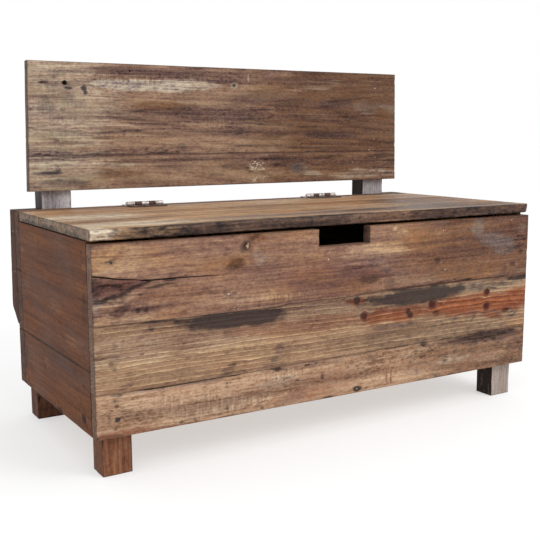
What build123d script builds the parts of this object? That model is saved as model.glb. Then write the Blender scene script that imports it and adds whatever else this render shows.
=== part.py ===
from build123d import *
import os
from dataclasses import dataclass
from math import cos, radians, sin, tan

# Storage bench in reclaimed boards: a nailed box on four feet, a hinged lid that is
# the seat, a hand notch in the front, and a plank backrest on two posts behind the box.
# Millimetres, +Z up, +Y to the back; the front faces -Y. The origin is on the floor,
# under the middle of the bench.

# Box
bench_width = 860.0  # across the front boards
well_depth = 332.0  # inside, from the front boards to the back boards
front_thickness = 19.0
side_thickness = 15.0
back_thickness = 28.0
board_gap = 0.8  # open seam between two neighbouring boards
board_ease = 1.6  # worn radius along a board's edges
front_bottom_height = 67.5
front_middle_height = 100.5
front_top_height = 114.0
side_lower_height = 97.0
back_bottom_height = 96.0
back_middle_height = 104.0
notch_width = 102.0
notch_depth = 28.5
notch_offset = 5.0  # to the right of the middle

# Feet, bearers and floor
foot_height = 64.0
foot_width = 47.0
foot_depth = 40.0
foot_ease = 2.0
rear_foot_setback = 3.0  # from the rear of the back boards
bearer_height = 28.0
bearer_depth = 40.0
floor_thickness = 14.0
floor_board_count = 7
floor_end_gap = 0.5

# Posts and battens inside the box
corner_post_size = 30.0
front_batten_width = 40.0
front_batten_thickness = 20.0
front_batten_inset = 213.0  # from the end of the bench
front_batten_drop = 8.0  # below the top of the front boards

# Lid
lid_thickness = 17.0
lid_front_gap = 4.0  # dark slit above the front boards
lid_seat_gap = 0.8  # above the side boards
lid_setback = 4.0  # behind the front face
lid_back_gap = 3.0  # to the back boards
lid_front_board_width = 120.0
lid_middle_board_width = 112.0
lid_corner_radius = 6.0
lid_edge_radius = 5.0
lid_batten_width = 45.0
lid_batten_thickness = 20.0
lid_batten_inset = 140.0  # from the end of the bench
lid_batten_margin = 40.0  # from the front and the back of the well

# Backrest
backrest_inset = 27.0  # from the end of the bench
backrest_thickness = 16.0
backrest_lower_height = 61.0
backrest_upper_height = 163.0
backrest_lift = 31.0  # free height above the lid
backrest_rake = 1.5  # degrees from upright
post_width = 55.0
post_depth = 38.0
post_inset = 49.0  # from the end of the bench
post_tail = 202.0  # length of post below the lid's top
post_top_drop = 8.0  # below the top of the backrest
cheek_top_depth = 27.0
tail_bevel_height = 28.0
tail_end_depth = 4.0

# Hinges
hinge_length = 70.0
hinge_inset = 233.0  # from the end of the bench
leaf_width = 24.0  # from the pin's axis
leaf_thickness = 1.8
barrel_diameter = 8.0
barrel_lift = 0.3  # gap under the barrel
pin_diameter = 4.4
pin_clearance = 0.05
pin_head_diameter = 6.4
pin_head_thickness = 1.2
knuckle_count = 5
knuckle_gap = 0.3
leaf_clearance = 0.4  # from a leaf to the other leaf's knuckles
leaf_screw_spacing = 24.0

# Fasteners
nail_edge = 18.0  # from a board's edge to its nails
middle_nail_edge = 34.0  # the same in the middle front board
wide_nail_edge = 27.0  # the same in the top front board and the upper backrest board
side_nail_inset = 22.0  # from the front or back boards to the nails in the sides
floor_nail_share = 0.25  # of a floor board's width, from its edges
foot_screw_spacing = 20.0
rear_foot_screw_spacing = 16.0
cheek_nail_drops = (38.0, 110.0)  # below the lid's top
cheek_nail_depth = 14.0  # behind the back boards
fastener_clearance = 0.05
countersink_angle = 90.0
tip_length = 4.0


@dataclass(frozen=True)
class Fastener:
    """Sizes of one kind of nail or wood screw."""

    length: float
    shank: float
    head: float
    head_height: float  # 0 for a countersunk screw
    sink: float  # of the head below the surface


board_nail = Fastener(length=34.0, shank=2.8, head=6.4, head_height=1.4, sink=0.4)
back_nail = Fastener(length=44.0, shank=2.8, head=6.4, head_height=1.4, sink=0.4)
cheek_nail = Fastener(length=70.0, shank=3.4, head=7.0, head_height=1.6, sink=0.4)
foot_screw = Fastener(length=60.0, shank=5.0, head=9.6, head_height=0.0, sink=0.3)
post_screw = Fastener(length=54.0, shank=5.0, head=9.6, head_height=0.0, sink=0.3)
lid_screw = Fastener(length=28.0, shank=4.0, head=8.0, head_height=0.0, sink=0.3)
leaf_screw = Fastener(length=14.0, shank=3.2, head=5.8, head_height=0.0, sink=0.05)

# Planes and levels that follow from the sizes above
sides = (("left", -1), ("right", 1))
total_depth = front_thickness + well_depth + back_thickness + post_depth
front_face = -total_depth / 2
well_front = front_face + front_thickness
well_back = well_front + well_depth
back_face = well_back + back_thickness
rear_face = back_face + post_depth
side_face = bench_width / 2
well_side = side_face - side_thickness
front_batten_offset = side_face - front_batten_inset
lid_batten_offset = side_face - lid_batten_inset
hinge_offset = side_face - hinge_inset
backrest_width = bench_width - 2 * backrest_inset

bearer_top = foot_height + bearer_height
bearer_row = foot_height + bearer_height / 2
floor_top = bearer_top + floor_thickness
front_middle_bottom = foot_height + front_bottom_height + board_gap
front_top_bottom = front_middle_bottom + front_middle_height + board_gap
front_top = front_top_bottom + front_top_height
lid_bottom = front_top + lid_front_gap
lid_top = lid_bottom + lid_thickness
side_top = lid_bottom - lid_seat_gap
side_seam = foot_height + side_lower_height
back_middle_bottom = foot_height + back_bottom_height + board_gap
back_top_bottom = back_middle_bottom + back_middle_height + board_gap
backrest_bottom = lid_top + backrest_lift
backrest_height = backrest_lower_height + board_gap + backrest_upper_height

lid_front = front_face + lid_setback
lid_back = well_back - lid_back_gap
pin_y = well_back - lid_back_gap / 2
pin_z = lid_top + barrel_lift + barrel_diameter / 2
knuckle_pitch = hinge_length / knuckle_count

corner_column = well_side - corner_post_size / 2
post_outer = side_face - post_inset
post_centre = post_outer - post_width / 2
tail_bottom = lid_top - post_tail

os.makedirs("parts", exist_ok=True)


def save(piece, label):
    """Label a finished piece and write it."""
    piece.part.label = label
    export_step(piece.part, f"parts/{label}.step")


def drill(seats, fastener):
    """Cut the holes of fasteners in the open part, each from its seat's plane inwards."""
    shank_radius = fastener.shank / 2 + fastener_clearance
    head_radius = fastener.head / 2 + fastener_clearance
    depth = fastener.sink + fastener.length + fastener_clearance
    with Locations(*seats):
        if fastener.head_height:
            recess = fastener.sink + fastener.head_height + fastener_clearance
            CounterBoreHole(shank_radius, head_radius, recess, depth)
        else:
            CounterSinkHole(shank_radius, head_radius + fastener.sink, depth, countersink_angle)


def drive(label, seats, fastener):
    """Make a group of like nails or screws, one on each seat."""
    head_radius = fastener.head / 2
    shank_radius = fastener.shank / 2
    head_top = -fastener.sink
    neck = fastener.head_height or head_radius - shank_radius
    shoulder = head_radius if fastener.head_height else shank_radius
    tip = head_top - fastener.length
    with BuildPart() as single:
        with BuildSketch(Plane.XZ):
            with BuildLine():
                Polyline(
                    (0, head_top),
                    (head_radius, head_top),
                    (shoulder, head_top - neck),
                    (shank_radius, head_top - neck - fastener_clearance),
                    (shank_radius, tip + tip_length),
                    (0, tip),
                    close=True,
                )
            make_face()
        revolve(axis=Axis.Z)
    with BuildPart() as group:
        with Locations(*seats):
            add(single.part)
    save(group, label)


def plank(label, span_x, span_y, span_z, grain, ease, fixings=()):
    """Make a straight board between its limits, eased along its grain and drilled."""
    with BuildPart() as board:
        with BuildSketch(Plane.XY.offset(span_z[0])):
            with Locations((sum(span_x) / 2, sum(span_y) / 2)):
                Rectangle(span_x[1] - span_x[0], span_y[1] - span_y[0])
        extrude(amount=span_z[1] - span_z[0])
        fillet(board.edges().filter_by(grain), ease)
        for seats, fastener in fixings:
            drill(seats, fastener)
    save(board, label)


def span(side, inner, outer):
    """Order the limits of a piece that stands on one side of the middle."""
    return tuple(sorted((side * inner, side * outer)))


def seats_facing(direction, places):
    """Turn places on a surface into the planes that fasteners enter."""
    return [Plane(origin=place, z_dir=direction) for place in places]


def inset_rows(bottom, top, inset=nail_edge):
    """Give the two nail rows of a board from its lower and upper edges."""
    return (bottom + inset, top - inset)


def bottom_rows(top):
    """Give a bottom board's rows: one in the bearer, one in the post above the floor."""
    return (bearer_row, (floor_top + top) / 2)


# Front boards, with their nails in the corner posts, the battens and the front bearer
front_columns = (-corner_column, -front_batten_offset, front_batten_offset, corner_column)
front_rows = {
    "bottom": bottom_rows(foot_height + front_bottom_height),
    "middle": inset_rows(front_middle_bottom, front_top_bottom - board_gap, middle_nail_edge),
    "top": inset_rows(front_top_bottom, front_top, wide_nail_edge),
}
front_seats = {
    name: seats_facing((0, -1, 0), [(x, front_face, z) for x in front_columns for z in rows])
    for name, rows in front_rows.items()
}
all_front_seats = [seat for seats in front_seats.values() for seat in seats]
across = (-side_face, side_face)
front_span = (front_face, well_front)

for name, bottom, height in (
    ("bottom", foot_height, front_bottom_height),
    ("middle", front_middle_bottom, front_middle_height),
):
    level = (bottom, bottom + height)
    fixings = [(front_seats[name], board_nail)]
    plank(f"front_board_{name}", across, front_span, level, Axis.X, board_ease, fixings)

with BuildPart() as front_board_top:
    with BuildSketch(Plane.XZ.offset(-well_front)):
        with Locations((0, front_top_bottom + front_top_height / 2)):
            Rectangle(bench_width, front_top_height)
        with Locations((notch_offset, front_top)):
            Rectangle(notch_width, 2 * notch_depth, mode=Mode.SUBTRACT)
    extrude(amount=front_thickness)
    outer_edges = front_board_top.edges().filter_by(Axis.X)
    fillet(outer_edges.group_by(Axis.Z)[0] + outer_edges.group_by(Axis.Z)[-1], board_ease)
    drill(front_seats["top"], board_nail)
save(front_board_top, "front_board_top")
drive("front_nails", all_front_seats, board_nail)

# Side boards, with their nails in the corner posts and the ends of the bearers
side_nail_places = (well_front + side_nail_inset, well_back - side_nail_inset)
side_rows = {
    "lower": bottom_rows(side_seam),
    "upper": inset_rows(side_seam + board_gap, side_top),
}
side_seats = {
    (end, name): seats_facing(
        (side, 0, 0), [(side * side_face, y, z) for y in side_nail_places for z in rows]
    )
    for end, side in sides
    for name, rows in side_rows.items()
}
all_side_seats = [seat for seats in side_seats.values() for seat in seats]
side_levels = {
    "lower": (foot_height, side_seam),
    "upper": (side_seam + board_gap, side_top),
}
for end, side in sides:
    for name, level in side_levels.items():
        thick = span(side, well_side, side_face)
        fixings = [(side_seats[end, name], board_nail)]
        label = f"{end}_side_board_{name}"
        plank(label, thick, (well_front, well_back), level, Axis.Y, board_ease, fixings)
drive("side_nails", all_side_seats, board_nail)

# Screws of the backrest posts and of the hinges, which the back boards also hold
post_screw_levels = ((back_middle_bottom + back_top_bottom) / 2, (back_top_bottom + lid_top) / 2)
post_seats = {
    end: seats_facing((0, 1, 0), [(side * post_centre, rear_face, z) for z in post_screw_levels])
    for end, side in sides
}
all_post_seats = [seat for seats in post_seats.values() for seat in seats]
leaf_middle = (barrel_diameter / 2 + leaf_clearance + leaf_width) / 2
leaf_top = lid_top + leaf_thickness
leaf_screw_offsets = (-leaf_screw_spacing, 0, leaf_screw_spacing)


def leaf_seats(centre, direction):
    """Give the seats of one leaf's screws; direction is 1 on the back boards, -1 on the lid."""
    y = pin_y + direction * leaf_middle
    return seats_facing((0, 0, 1), [(centre + x, y, leaf_top) for x in leaf_screw_offsets])


hinge_centres = {end: side * hinge_offset for end, side in sides}
fixed_leaf_seats = [seat for x in hinge_centres.values() for seat in leaf_seats(x, 1)]
lid_leaf_seats = [seat for x in hinge_centres.values() for seat in leaf_seats(x, -1)]

# Back boards
back_levels = {
    "bottom": (foot_height, foot_height + back_bottom_height),
    "middle": (back_middle_bottom, back_middle_bottom + back_middle_height),
    "top": (back_top_bottom, lid_top),
}
back_places = [(side * front_batten_offset, back_face, bearer_row) for end, side in sides]
back_seats = {"bottom": seats_facing((0, 1, 0), back_places)}
for name, level in back_levels.items():
    nailed_top = min(level[1], front_top)
    rows = bottom_rows(level[1]) if name == "bottom" else inset_rows(level[0], nailed_top)
    places = [(side * corner_column, back_face, z) for end, side in sides for z in rows]
    back_seats[name] = back_seats.get(name, []) + seats_facing((0, 1, 0), places)
    fixings = [(back_seats[name], back_nail)]
    if name != "bottom":
        fixings.append((all_post_seats, post_screw))
    if name == "top":
        fixings.append((fixed_leaf_seats, leaf_screw))
    plank(f"back_board_{name}", across, (well_back, back_face), level, Axis.X, board_ease, fixings)
all_back_seats = [seat for seats in back_seats.values() for seat in seats]
drive("back_nails", all_back_seats, back_nail)

# Floor boards from front to back on the two bearers
floor_pitch = 2 * well_side / floor_board_count
bearer_spans = {
    "front": (well_front, well_front + bearer_depth),
    "rear": (well_back - bearer_depth, well_back),
}
floor_seats = []
for number in range(floor_board_count):
    left = -well_side + number * floor_pitch + board_gap / 2
    right = left + floor_pitch - board_gap
    columns = (
        left + floor_nail_share * (right - left),
        right - floor_nail_share * (right - left),
    )
    places = [(x, sum(y) / 2, floor_top) for x in columns for y in bearer_spans.values()]
    seats = seats_facing((0, 0, 1), places)
    floor_seats += seats
    plank(
        f"floor_board_{number + 1}",
        (left, right),
        (well_front + floor_end_gap, well_back - floor_end_gap),
        (bearer_top, floor_top),
        Axis.Y,
        board_ease,
        [(seats, board_nail)],
    )
drive("floor_nails", floor_seats, board_nail)

# Feet under the ends of the bearers
foot_centre = well_side - foot_width / 2
rear_foot_back = back_face - rear_foot_setback
foot_spans = {
    "front": (well_front, well_front + foot_depth),
    "rear": (rear_foot_back - foot_depth, rear_foot_back),
}
front_screw_y = sum(bearer_spans["front"]) / 2
rear_screw_y = (foot_spans["rear"][0] + well_back) / 2
foot_screw_places = {
    "front": [
        (foot_centre, front_screw_y - foot_screw_spacing / 2),
        (foot_centre, front_screw_y + foot_screw_spacing / 2),
    ],
    "rear": [
        (foot_centre, rear_screw_y),
        (foot_centre - rear_foot_screw_spacing, rear_screw_y),
    ],
}
foot_seats = {
    (row, end): seats_facing((0, 0, 1), [(side * x, y, bearer_top) for x, y in places])
    for row, places in foot_screw_places.items()
    for end, side in sides
}
for (row, end), seats in foot_seats.items():
    side = dict(sides)[end]
    limits = span(side, well_side - foot_width, well_side)
    with BuildPart() as foot:
        with BuildSketch():
            with Locations((sum(limits) / 2, sum(foot_spans[row]) / 2)):
                Rectangle(foot_width, foot_depth)
        extrude(amount=foot_height)
        fillet(foot.edges().filter_by(Axis.Z), foot_ease)
        chamfer(foot.edges().group_by(Axis.Z)[0], foot_ease / 2)
        drill(seats, foot_screw)
    save(foot, f"{row}_foot_{end}")
drive("foot_screws", [seat for seats in foot_seats.values() for seat in seats], foot_screw)

# Bearers, which take nails from the front, sides, back and floor, and the foot screws
for row, bearer_span in bearer_spans.items():
    boards_seats = all_front_seats if row == "front" else all_back_seats
    boards_nail = board_nail if row == "front" else back_nail
    fixings = [
        (boards_seats, boards_nail),
        (all_side_seats, board_nail),
        (floor_seats, board_nail),
        (foot_seats[row, "left"] + foot_seats[row, "right"], foot_screw),
    ]
    level = (foot_height, bearer_top)
    plank(f"{row}_bearer", (-well_side, well_side), bearer_span, level, Axis.X, board_ease, fixings)

# Corner posts that stand on the floor, and the battens behind the front boards
corner_spans = {
    "front": (well_front, well_front + corner_post_size),
    "rear": (well_back - corner_post_size, well_back),
}
for row, corner_span in corner_spans.items():
    boards_seats = all_front_seats if row == "front" else all_back_seats
    boards_nail = board_nail if row == "front" else back_nail
    for end, side in sides:
        limits = span(side, well_side - corner_post_size, well_side)
        fixings = [(boards_seats, boards_nail), (all_side_seats, board_nail)]
        level = (floor_top, front_top)
        label = f"{row}_corner_post_{end}"
        plank(label, limits, corner_span, level, Axis.Z, board_ease, fixings)

for end, side in sides:
    inner = front_batten_offset - front_batten_width / 2
    plank(
        f"front_batten_{end}",
        span(side, inner, inner + front_batten_width),
        (well_front, well_front + front_batten_thickness),
        (floor_top, front_top - front_batten_drop),
        Axis.Z,
        board_ease,
        [(all_front_seats, board_nail)],
    )

# Lid battens and the screws that go up through them into the lid boards
lid_spans = {"front": (lid_front, lid_front + lid_front_board_width)}
lid_middle_front = lid_spans["front"][1] + board_gap
lid_spans["middle"] = (lid_middle_front, lid_middle_front + lid_middle_board_width)
lid_spans["rear"] = (lid_spans["middle"][1] + board_gap, lid_back)
batten_span = (well_front + lid_batten_margin, well_back - lid_batten_margin)
lid_screw_rows = []
for board_span in lid_spans.values():
    shared_front = max(board_span[0], batten_span[0])
    shared_back = min(board_span[1], batten_span[1])
    quarter = (shared_back - shared_front) / 4
    lid_screw_rows += [shared_front + quarter, shared_back - quarter]
batten_bottom = lid_bottom - lid_batten_thickness
lid_seats = {
    end: seats_facing(
        (0, 0, -1), [(side * lid_batten_offset, y, batten_bottom) for y in lid_screw_rows]
    )
    for end, side in sides
}
all_lid_seats = lid_seats["left"] + lid_seats["right"]
for end, side in sides:
    inner = lid_batten_offset - lid_batten_width / 2
    plank(
        f"lid_batten_{end}",
        span(side, inner, inner + lid_batten_width),
        batten_span,
        (batten_bottom, lid_bottom),
        Axis.Y,
        board_ease,
        [(lid_seats[end], lid_screw)],
    )
drive("lid_screws", all_lid_seats, lid_screw)

# Lid boards, worn round along the front and the ends
for name, board_span in lid_spans.items():
    with BuildPart() as lid_board:
        with BuildSketch(Plane.XY.offset(lid_bottom)):
            with Locations((0, sum(board_span) / 2)):
                Rectangle(bench_width, board_span[1] - board_span[0])
        extrude(amount=lid_thickness)
        if name == "front":
            corners = lid_board.edges().filter_by(Axis.Z).group_by(Axis.Y)[0]
            fillet(corners, lid_corner_radius)
            seams = lid_board.edges().filter_by(Axis.X).group_by(Axis.Y)[-1]
            fillet(seams, board_ease)
            fillet(lid_board.faces().sort_by(Axis.Y)[0].edges().filter_by(Axis.X), lid_edge_radius)
        else:
            fillet(lid_board.edges().filter_by(Axis.X), board_ease)
            ends = lid_board.faces().filter_by(Axis.X)
            fillet(ends.edges().filter_by(Axis.Y).group_by(Axis.Z)[-1], board_ease)
        drill(all_lid_seats, lid_screw)
        if name == "rear":
            drill(lid_leaf_seats, leaf_screw)
    save(lid_board, f"lid_board_{name}")

# Backrest boards on the raked faces of the posts
lean = radians(backrest_rake)
backrest_seat = Plane(
    origin=(0, back_face, backrest_bottom), x_dir=(1, 0, 0), z_dir=(0, -cos(lean), sin(lean))
)
backrest_front = backrest_seat.offset(backrest_thickness)
backrest_levels = {
    "lower": (0, backrest_lower_height),
    "upper": (backrest_lower_height + board_gap, backrest_height),
}
all_backrest_seats = []
for name, level in backrest_levels.items():
    inset = wide_nail_edge if name == "upper" else nail_edge
    seats = [
        Plane(
            origin=backrest_front.from_local_coords((side * post_centre, row, 0)),
            z_dir=backrest_front.z_dir,
        )
        for end, side in sides
        for row in inset_rows(*level, inset)
    ]
    all_backrest_seats += seats
    with BuildPart() as backrest_board:
        with BuildSketch(backrest_seat):
            with Locations((0, sum(level) / 2)):
                Rectangle(backrest_width, level[1] - level[0])
        extrude(amount=backrest_thickness)
        fillet(backrest_board.edges().filter_by(Axis.X), board_ease)
        drill(seats, board_nail)
    save(backrest_board, f"backrest_board_{name}")
drive("backrest_nails", all_backrest_seats, board_nail)

# Posts behind the back boards, bevelled at the foot, and the cheeks nailed to their sides
post_top = backrest_bottom + backrest_height * cos(lean) - post_top_drop
bevel_top = tail_bottom + tail_bevel_height
cheek_seats = {
    end: seats_facing(
        (side, 0, 0),
        [(side * side_face, back_face + cheek_nail_depth, lid_top - d) for d in cheek_nail_drops],
    )
    for end, side in sides
}
for end, side in sides:
    with BuildPart() as post:
        with BuildSketch(Plane.YZ.offset(min(side * post_outer, side * (post_outer - post_width)))):
            with BuildLine():
                Polyline(
                    (back_face, tail_bottom),
                    (back_face, backrest_bottom),
                    (back_face + (post_top - backrest_bottom) * tan(lean), post_top),
                    (rear_face, post_top),
                    (rear_face, bevel_top),
                    (back_face + tail_end_depth, tail_bottom),
                    close=True,
                )
            make_face()
        extrude(amount=post_width)
        fillet(post.edges().filter_by(Axis.Z).group_by(Axis.Y)[-1], board_ease)
        drill(post_seats[end], post_screw)
        drill(all_backrest_seats, board_nail)
        drill(cheek_seats[end], cheek_nail)
    save(post, f"backrest_post_{end}")

    with BuildPart() as cheek:
        with BuildSketch(Plane.YZ.offset(min(side * post_outer, side * side_face))):
            with BuildLine():
                Polyline(
                    (back_face, tail_bottom),
                    (back_face, lid_top),
                    (back_face + cheek_top_depth, lid_top),
                    (rear_face, bevel_top),
                    (back_face + tail_end_depth, tail_bottom),
                    close=True,
                )
            make_face()
        extrude(amount=post_inset)
        fillet(cheek.edges().filter_by(Axis.Y).group_by(Axis.Z)[-1], board_ease)
        drill(cheek_seats[end], cheek_nail)
    save(cheek, f"post_cheek_{end}")
drive("post_screws", all_post_seats, post_screw)
drive("cheek_nails", cheek_seats["left"] + cheek_seats["right"], cheek_nail)

# Butt hinges: a leaf on the back boards, a leaf on the lid, and the pin through both
barrel_radius = barrel_diameter / 2
plate_start = barrel_radius + leaf_clearance
for end, centre in hinge_centres.items():
    hinge_left = centre - hinge_length / 2
    for leaf_name, direction, first in (("fixed", 1, 0), ("lid", -1, 1)):
        knuckles = range(first, knuckle_count, 2)
        middles = [hinge_left + (index + 0.5) * knuckle_pitch for index in knuckles]
        knuckle_length = knuckle_pitch - knuckle_gap
        with BuildPart() as leaf:
            with BuildSketch(Plane.XY.offset(lid_top)):
                with Locations((centre, pin_y + direction * leaf_middle)):
                    Rectangle(hinge_length, leaf_width - plate_start)
                with Locations(*[(x, pin_y + direction * plate_start / 2) for x in middles]):
                    Rectangle(knuckle_length, plate_start)
            extrude(amount=leaf_thickness)
            for x in middles:
                with BuildSketch(Plane.YZ.offset(x - knuckle_length / 2)):
                    with Locations((pin_y, pin_z)):
                        Circle(barrel_radius)
                extrude(amount=knuckle_length)
            with BuildSketch(Plane.YZ.offset(hinge_left)):
                with Locations((pin_y, pin_z)):
                    Circle(pin_diameter / 2 + pin_clearance)
            extrude(amount=hinge_length, mode=Mode.SUBTRACT)
            drill(leaf_seats(centre, direction), leaf_screw)
        save(leaf, f"{end}_hinge_{leaf_name}_leaf")

    pin_half = hinge_length / 2 + knuckle_gap
    with BuildPart() as pin:
        with BuildSketch(Plane.YZ.offset(centre - pin_half)):
            with Locations((pin_y, pin_z)):
                Circle(pin_diameter / 2)
        extrude(amount=2 * pin_half)
        for start in (centre - pin_half - pin_head_thickness, centre + pin_half):
            with BuildSketch(Plane.YZ.offset(start)):
                with Locations((pin_y, pin_z)):
                    Circle(pin_head_diameter / 2)
            extrude(amount=pin_head_thickness)
    save(pin, f"{end}_hinge_pin")
drive("hinge_fixed_screws", fixed_leaf_seats, leaf_screw)
drive("hinge_lid_screws", lid_leaf_seats, leaf_screw)
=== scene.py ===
"""Looks of a storage bench made of reclaimed boards: worn planks, old nails and plain steel hinges."""

import itertools
import logging
import math
from collections.abc import Callable, Iterable, Sequence
from dataclasses import dataclass, field, replace
from enum import Enum
from functools import cached_property, partial

import bmesh
import bpy
import numpy as np
from mathutils import Matrix, Vector


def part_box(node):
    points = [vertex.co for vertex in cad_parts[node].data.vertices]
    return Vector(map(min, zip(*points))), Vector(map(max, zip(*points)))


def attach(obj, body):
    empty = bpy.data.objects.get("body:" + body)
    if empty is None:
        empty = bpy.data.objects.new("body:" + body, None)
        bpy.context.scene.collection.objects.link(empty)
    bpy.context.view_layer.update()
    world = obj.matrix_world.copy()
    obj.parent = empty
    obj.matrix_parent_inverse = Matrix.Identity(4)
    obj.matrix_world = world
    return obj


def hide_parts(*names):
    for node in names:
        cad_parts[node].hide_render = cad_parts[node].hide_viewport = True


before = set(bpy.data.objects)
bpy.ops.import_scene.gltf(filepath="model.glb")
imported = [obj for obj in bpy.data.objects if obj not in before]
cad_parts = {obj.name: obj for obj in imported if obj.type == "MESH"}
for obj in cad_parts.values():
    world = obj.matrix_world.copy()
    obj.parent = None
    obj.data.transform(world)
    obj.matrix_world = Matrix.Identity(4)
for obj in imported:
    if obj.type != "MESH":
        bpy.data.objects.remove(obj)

Array = np.ndarray
Tree = bpy.types.NodeTree
Socket = bpy.types.NodeSocket
Colour = tuple[float, float, float, float]
Place = tuple[float, float]
Triple = tuple[float, float, float]
Places = tuple[Place, ...]

MM = 0.001
log = logging.getLogger("bench")


# Directions, sides and tones


class Way(Enum):
    """A direction in the bench's own frame."""

    RIGHT = (1.0, 0.0, 0.0)
    LEFT = (-1.0, 0.0, 0.0)
    REAR = (0.0, 1.0, 0.0)
    FRONT = (0.0, -1.0, 0.0)
    UP = (0.0, 0.0, 1.0)
    DOWN = (0.0, 0.0, -1.0)


class Side(Enum):
    """A side of a board: the axis it looks along (grain, width, thickness) and the sign."""

    START = (0, -1)
    END = (0, 1)
    LOW = (1, -1)
    HIGH = (1, 1)
    BACK = (2, -1)
    FACE = (2, 1)


class Tone(Enum):
    """What a stain does to the wood: the attribute that carries it and its channel there."""

    DARK = ("stains", 0)
    WARM = ("stains", 1)
    PALE = ("stains", 2)
    GREY = ("stains", 3)
    PLUM = ("traces", 0)
    SAW = ("traces", 1)
    CHEW = ("traces", 2)
    SPECK = ("traces", 3)


# Noise


# What scrambles a cell's place and the seed into one of so many levels
CELL_FACTORS = (73856093, 19349663, 83492791)
SEED_FACTOR = 265443
SCRAMBLE_FACTOR = 1274126177
LARGEST_KEY = 0x7FFFFFFF
LEVELS = 65536


def value_noise(points: Array, seed: int) -> Array:
    """Give smooth noise at points, with one cell to a unit.

    Args:
        points: N by 3 places.
        seed: picks the pattern.

    Returns:
        N values from 0 to 1.
    """
    cell = np.floor(points).astype(np.int64)
    part = points - cell
    part = part * part * (3 - 2 * part)
    total = np.zeros(len(points))
    for corner in itertools.product((0, 1), repeat=3):
        x, y, z = ((cell + corner) * CELL_FACTORS).T
        mixed = x ^ y ^ z ^ seed * SEED_FACTOR
        mixed = ((mixed ^ (mixed >> 13)) * SCRAMBLE_FACTOR) & LARGEST_KEY
        mixed = mixed ^ (mixed >> 15)
        weight = np.prod(np.where(corner, part, 1 - part), axis=1)
        total += weight * (mixed % LEVELS) / (LEVELS - 1)
    return total


@dataclass(frozen=True)
class Pattern:
    """Noise of halving size, the largest along, across and through a board in millimetres.

    The key is added to a board's seed, so that the patterns of one board differ.
    """

    size: Triple
    key: int = 0
    octaves: int = 3

    def at(self, points: Array, seed: int) -> Array:
        """Give the noise at points.

        Args:
            points: N by 3 places in millimetres.
            seed: the board's seed.

        Returns:
            N values, mostly from 0.2 to 0.8.
        """
        scaled = points / np.asarray(self.size)
        total = np.zeros(len(points))
        for octave in range(self.octaves):
            total += value_noise(scaled * 2**octave, seed + self.key + 31 * octave) / 2 ** (octave + 1)
        return total / (1 - 0.5**self.octaves)


PITTED = Pattern((12, 5, 5))
KNOTTED = Pattern((9, 6, 6))
RUBBED = Pattern((60, 25, 25), 1)
CHIPPED = Pattern((26, 12, 12), 2)
WAVES = Pattern((170, 34, 34), 3)
SWAY = Pattern((240, 60, 60), 4)
EDGES = Pattern((40, 10, 10), 5)
RAGGED = Pattern((30, 9, 9), 50, 4)


def smooth(low: float, high: float, value: Array) -> Array:
    """Ease value from 0 at low to 1 at high."""
    share = np.clip((value - low) / (high - low), 0, 1)
    return share * share * (3 - 2 * share)


def uneven(pattern: Array) -> Array:
    """Turn noise into a factor around one."""
    return 0.4 + 1.2 * pattern


# Marks that time has left on a board, in millimetres on its own axes


@dataclass
class Surface:
    """The skin of a board while its marks are laid on, with one value for each point.

    Knots push the grain aside across the board, and have rings of their own.
    """

    points: Array
    facing: dict[Side, Array]
    tones: dict[Tone, Array]
    depth: Array
    seed: int
    across: Array = field(init=False)
    knot: Array = field(init=False)
    knot_rings: Array = field(init=False)
    pit: Array = field(init=False)

    def __post_init__(self) -> None:
        """Start with straight grain and no knots or pits."""
        self.across = self.points[:, 1].copy()
        self.knot, self.knot_rings, self.pit = np.zeros((3, len(self.points)))

    def cut(self, share: Array, depth: float) -> None:
        """Cut into the face.

        Args:
            share: how much of the cut each point has, from 0 to 1.
            depth: the depth of the whole cut.
        """
        opened = share * self.facing[Side.FACE]
        self.pit = np.maximum(self.pit, opened)
        self.depth += depth * opened


# How far a surface has to look a stain's way to get some of it, and all of it
STAIN_FACING = (0.15, 0.6)
# Where a stain ends and where it is full, as shares of its oval
STAIN_FADE = (1.2, 0.5)
STAIN_LIMIT = 1.15


@dataclass(frozen=True)
class Stain:
    """A ragged patch of another tone, with the place and half sizes of its oval."""

    tone: Tone
    place: Place
    reach: Place
    strength: float = 0.7
    slope: float = 0.0
    ragged: float = 0.5
    depth: float = 0.0
    side: Side = Side.FACE

    def share(self, points: Array, facing: Array, seed: int) -> Array:
        """Give how much of the stain each point has.

        Args:
            points: places on the board.
            facing: how far each point looks the stain's way, from 0 to 1.
            seed: picks the ragged edge.

        Returns:
            The share at each point, from 0 to the stain's strength.
        """
        first, second = [axis for axis in range(3) if axis != self.side.value[0]]
        along = points[:, first] - self.place[0]
        across = points[:, second] - self.place[1] - self.slope * along
        far = np.hypot(along / self.reach[0], across / self.reach[1])
        near = np.nonzero((far < STAIN_LIMIT + self.ragged) & (facing > STAIN_FACING[0]))[0]
        ragged = RAGGED.at(points[near], seed) - 0.5
        share = np.zeros(len(points))
        share[near] = self.strength * smooth(*STAIN_FADE, far[near] + 2 * self.ragged * ragged)
        return share * smooth(*STAIN_FACING, facing)

    def lay(self, surface: Surface, number: int) -> None:
        """Lay the stain on a board.

        Args:
            surface: the board's skin.
            number: which of the board's marks this is.
        """
        seed = surface.seed + number
        share = self.share(surface.points, surface.facing[self.side], seed)
        surface.tones[self.tone] = np.maximum(surface.tones[self.tone], share)
        if self.depth:
            surface.depth += self.depth * share * uneven(PITTED.at(surface.points, seed))


# How hard a knot pushes the grain aside, how softly at its middle, and how soon that fades
KNOT_PUSH, KNOT_SOFTNESS, KNOT_FADE = 0.9, 0.35, 0.12
# Where a knot ends and where it is whole, and how deep its rim is worn
KNOT_RIM = (1.3, 0.4)
KNOT_DEPTH = 0.35


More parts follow.
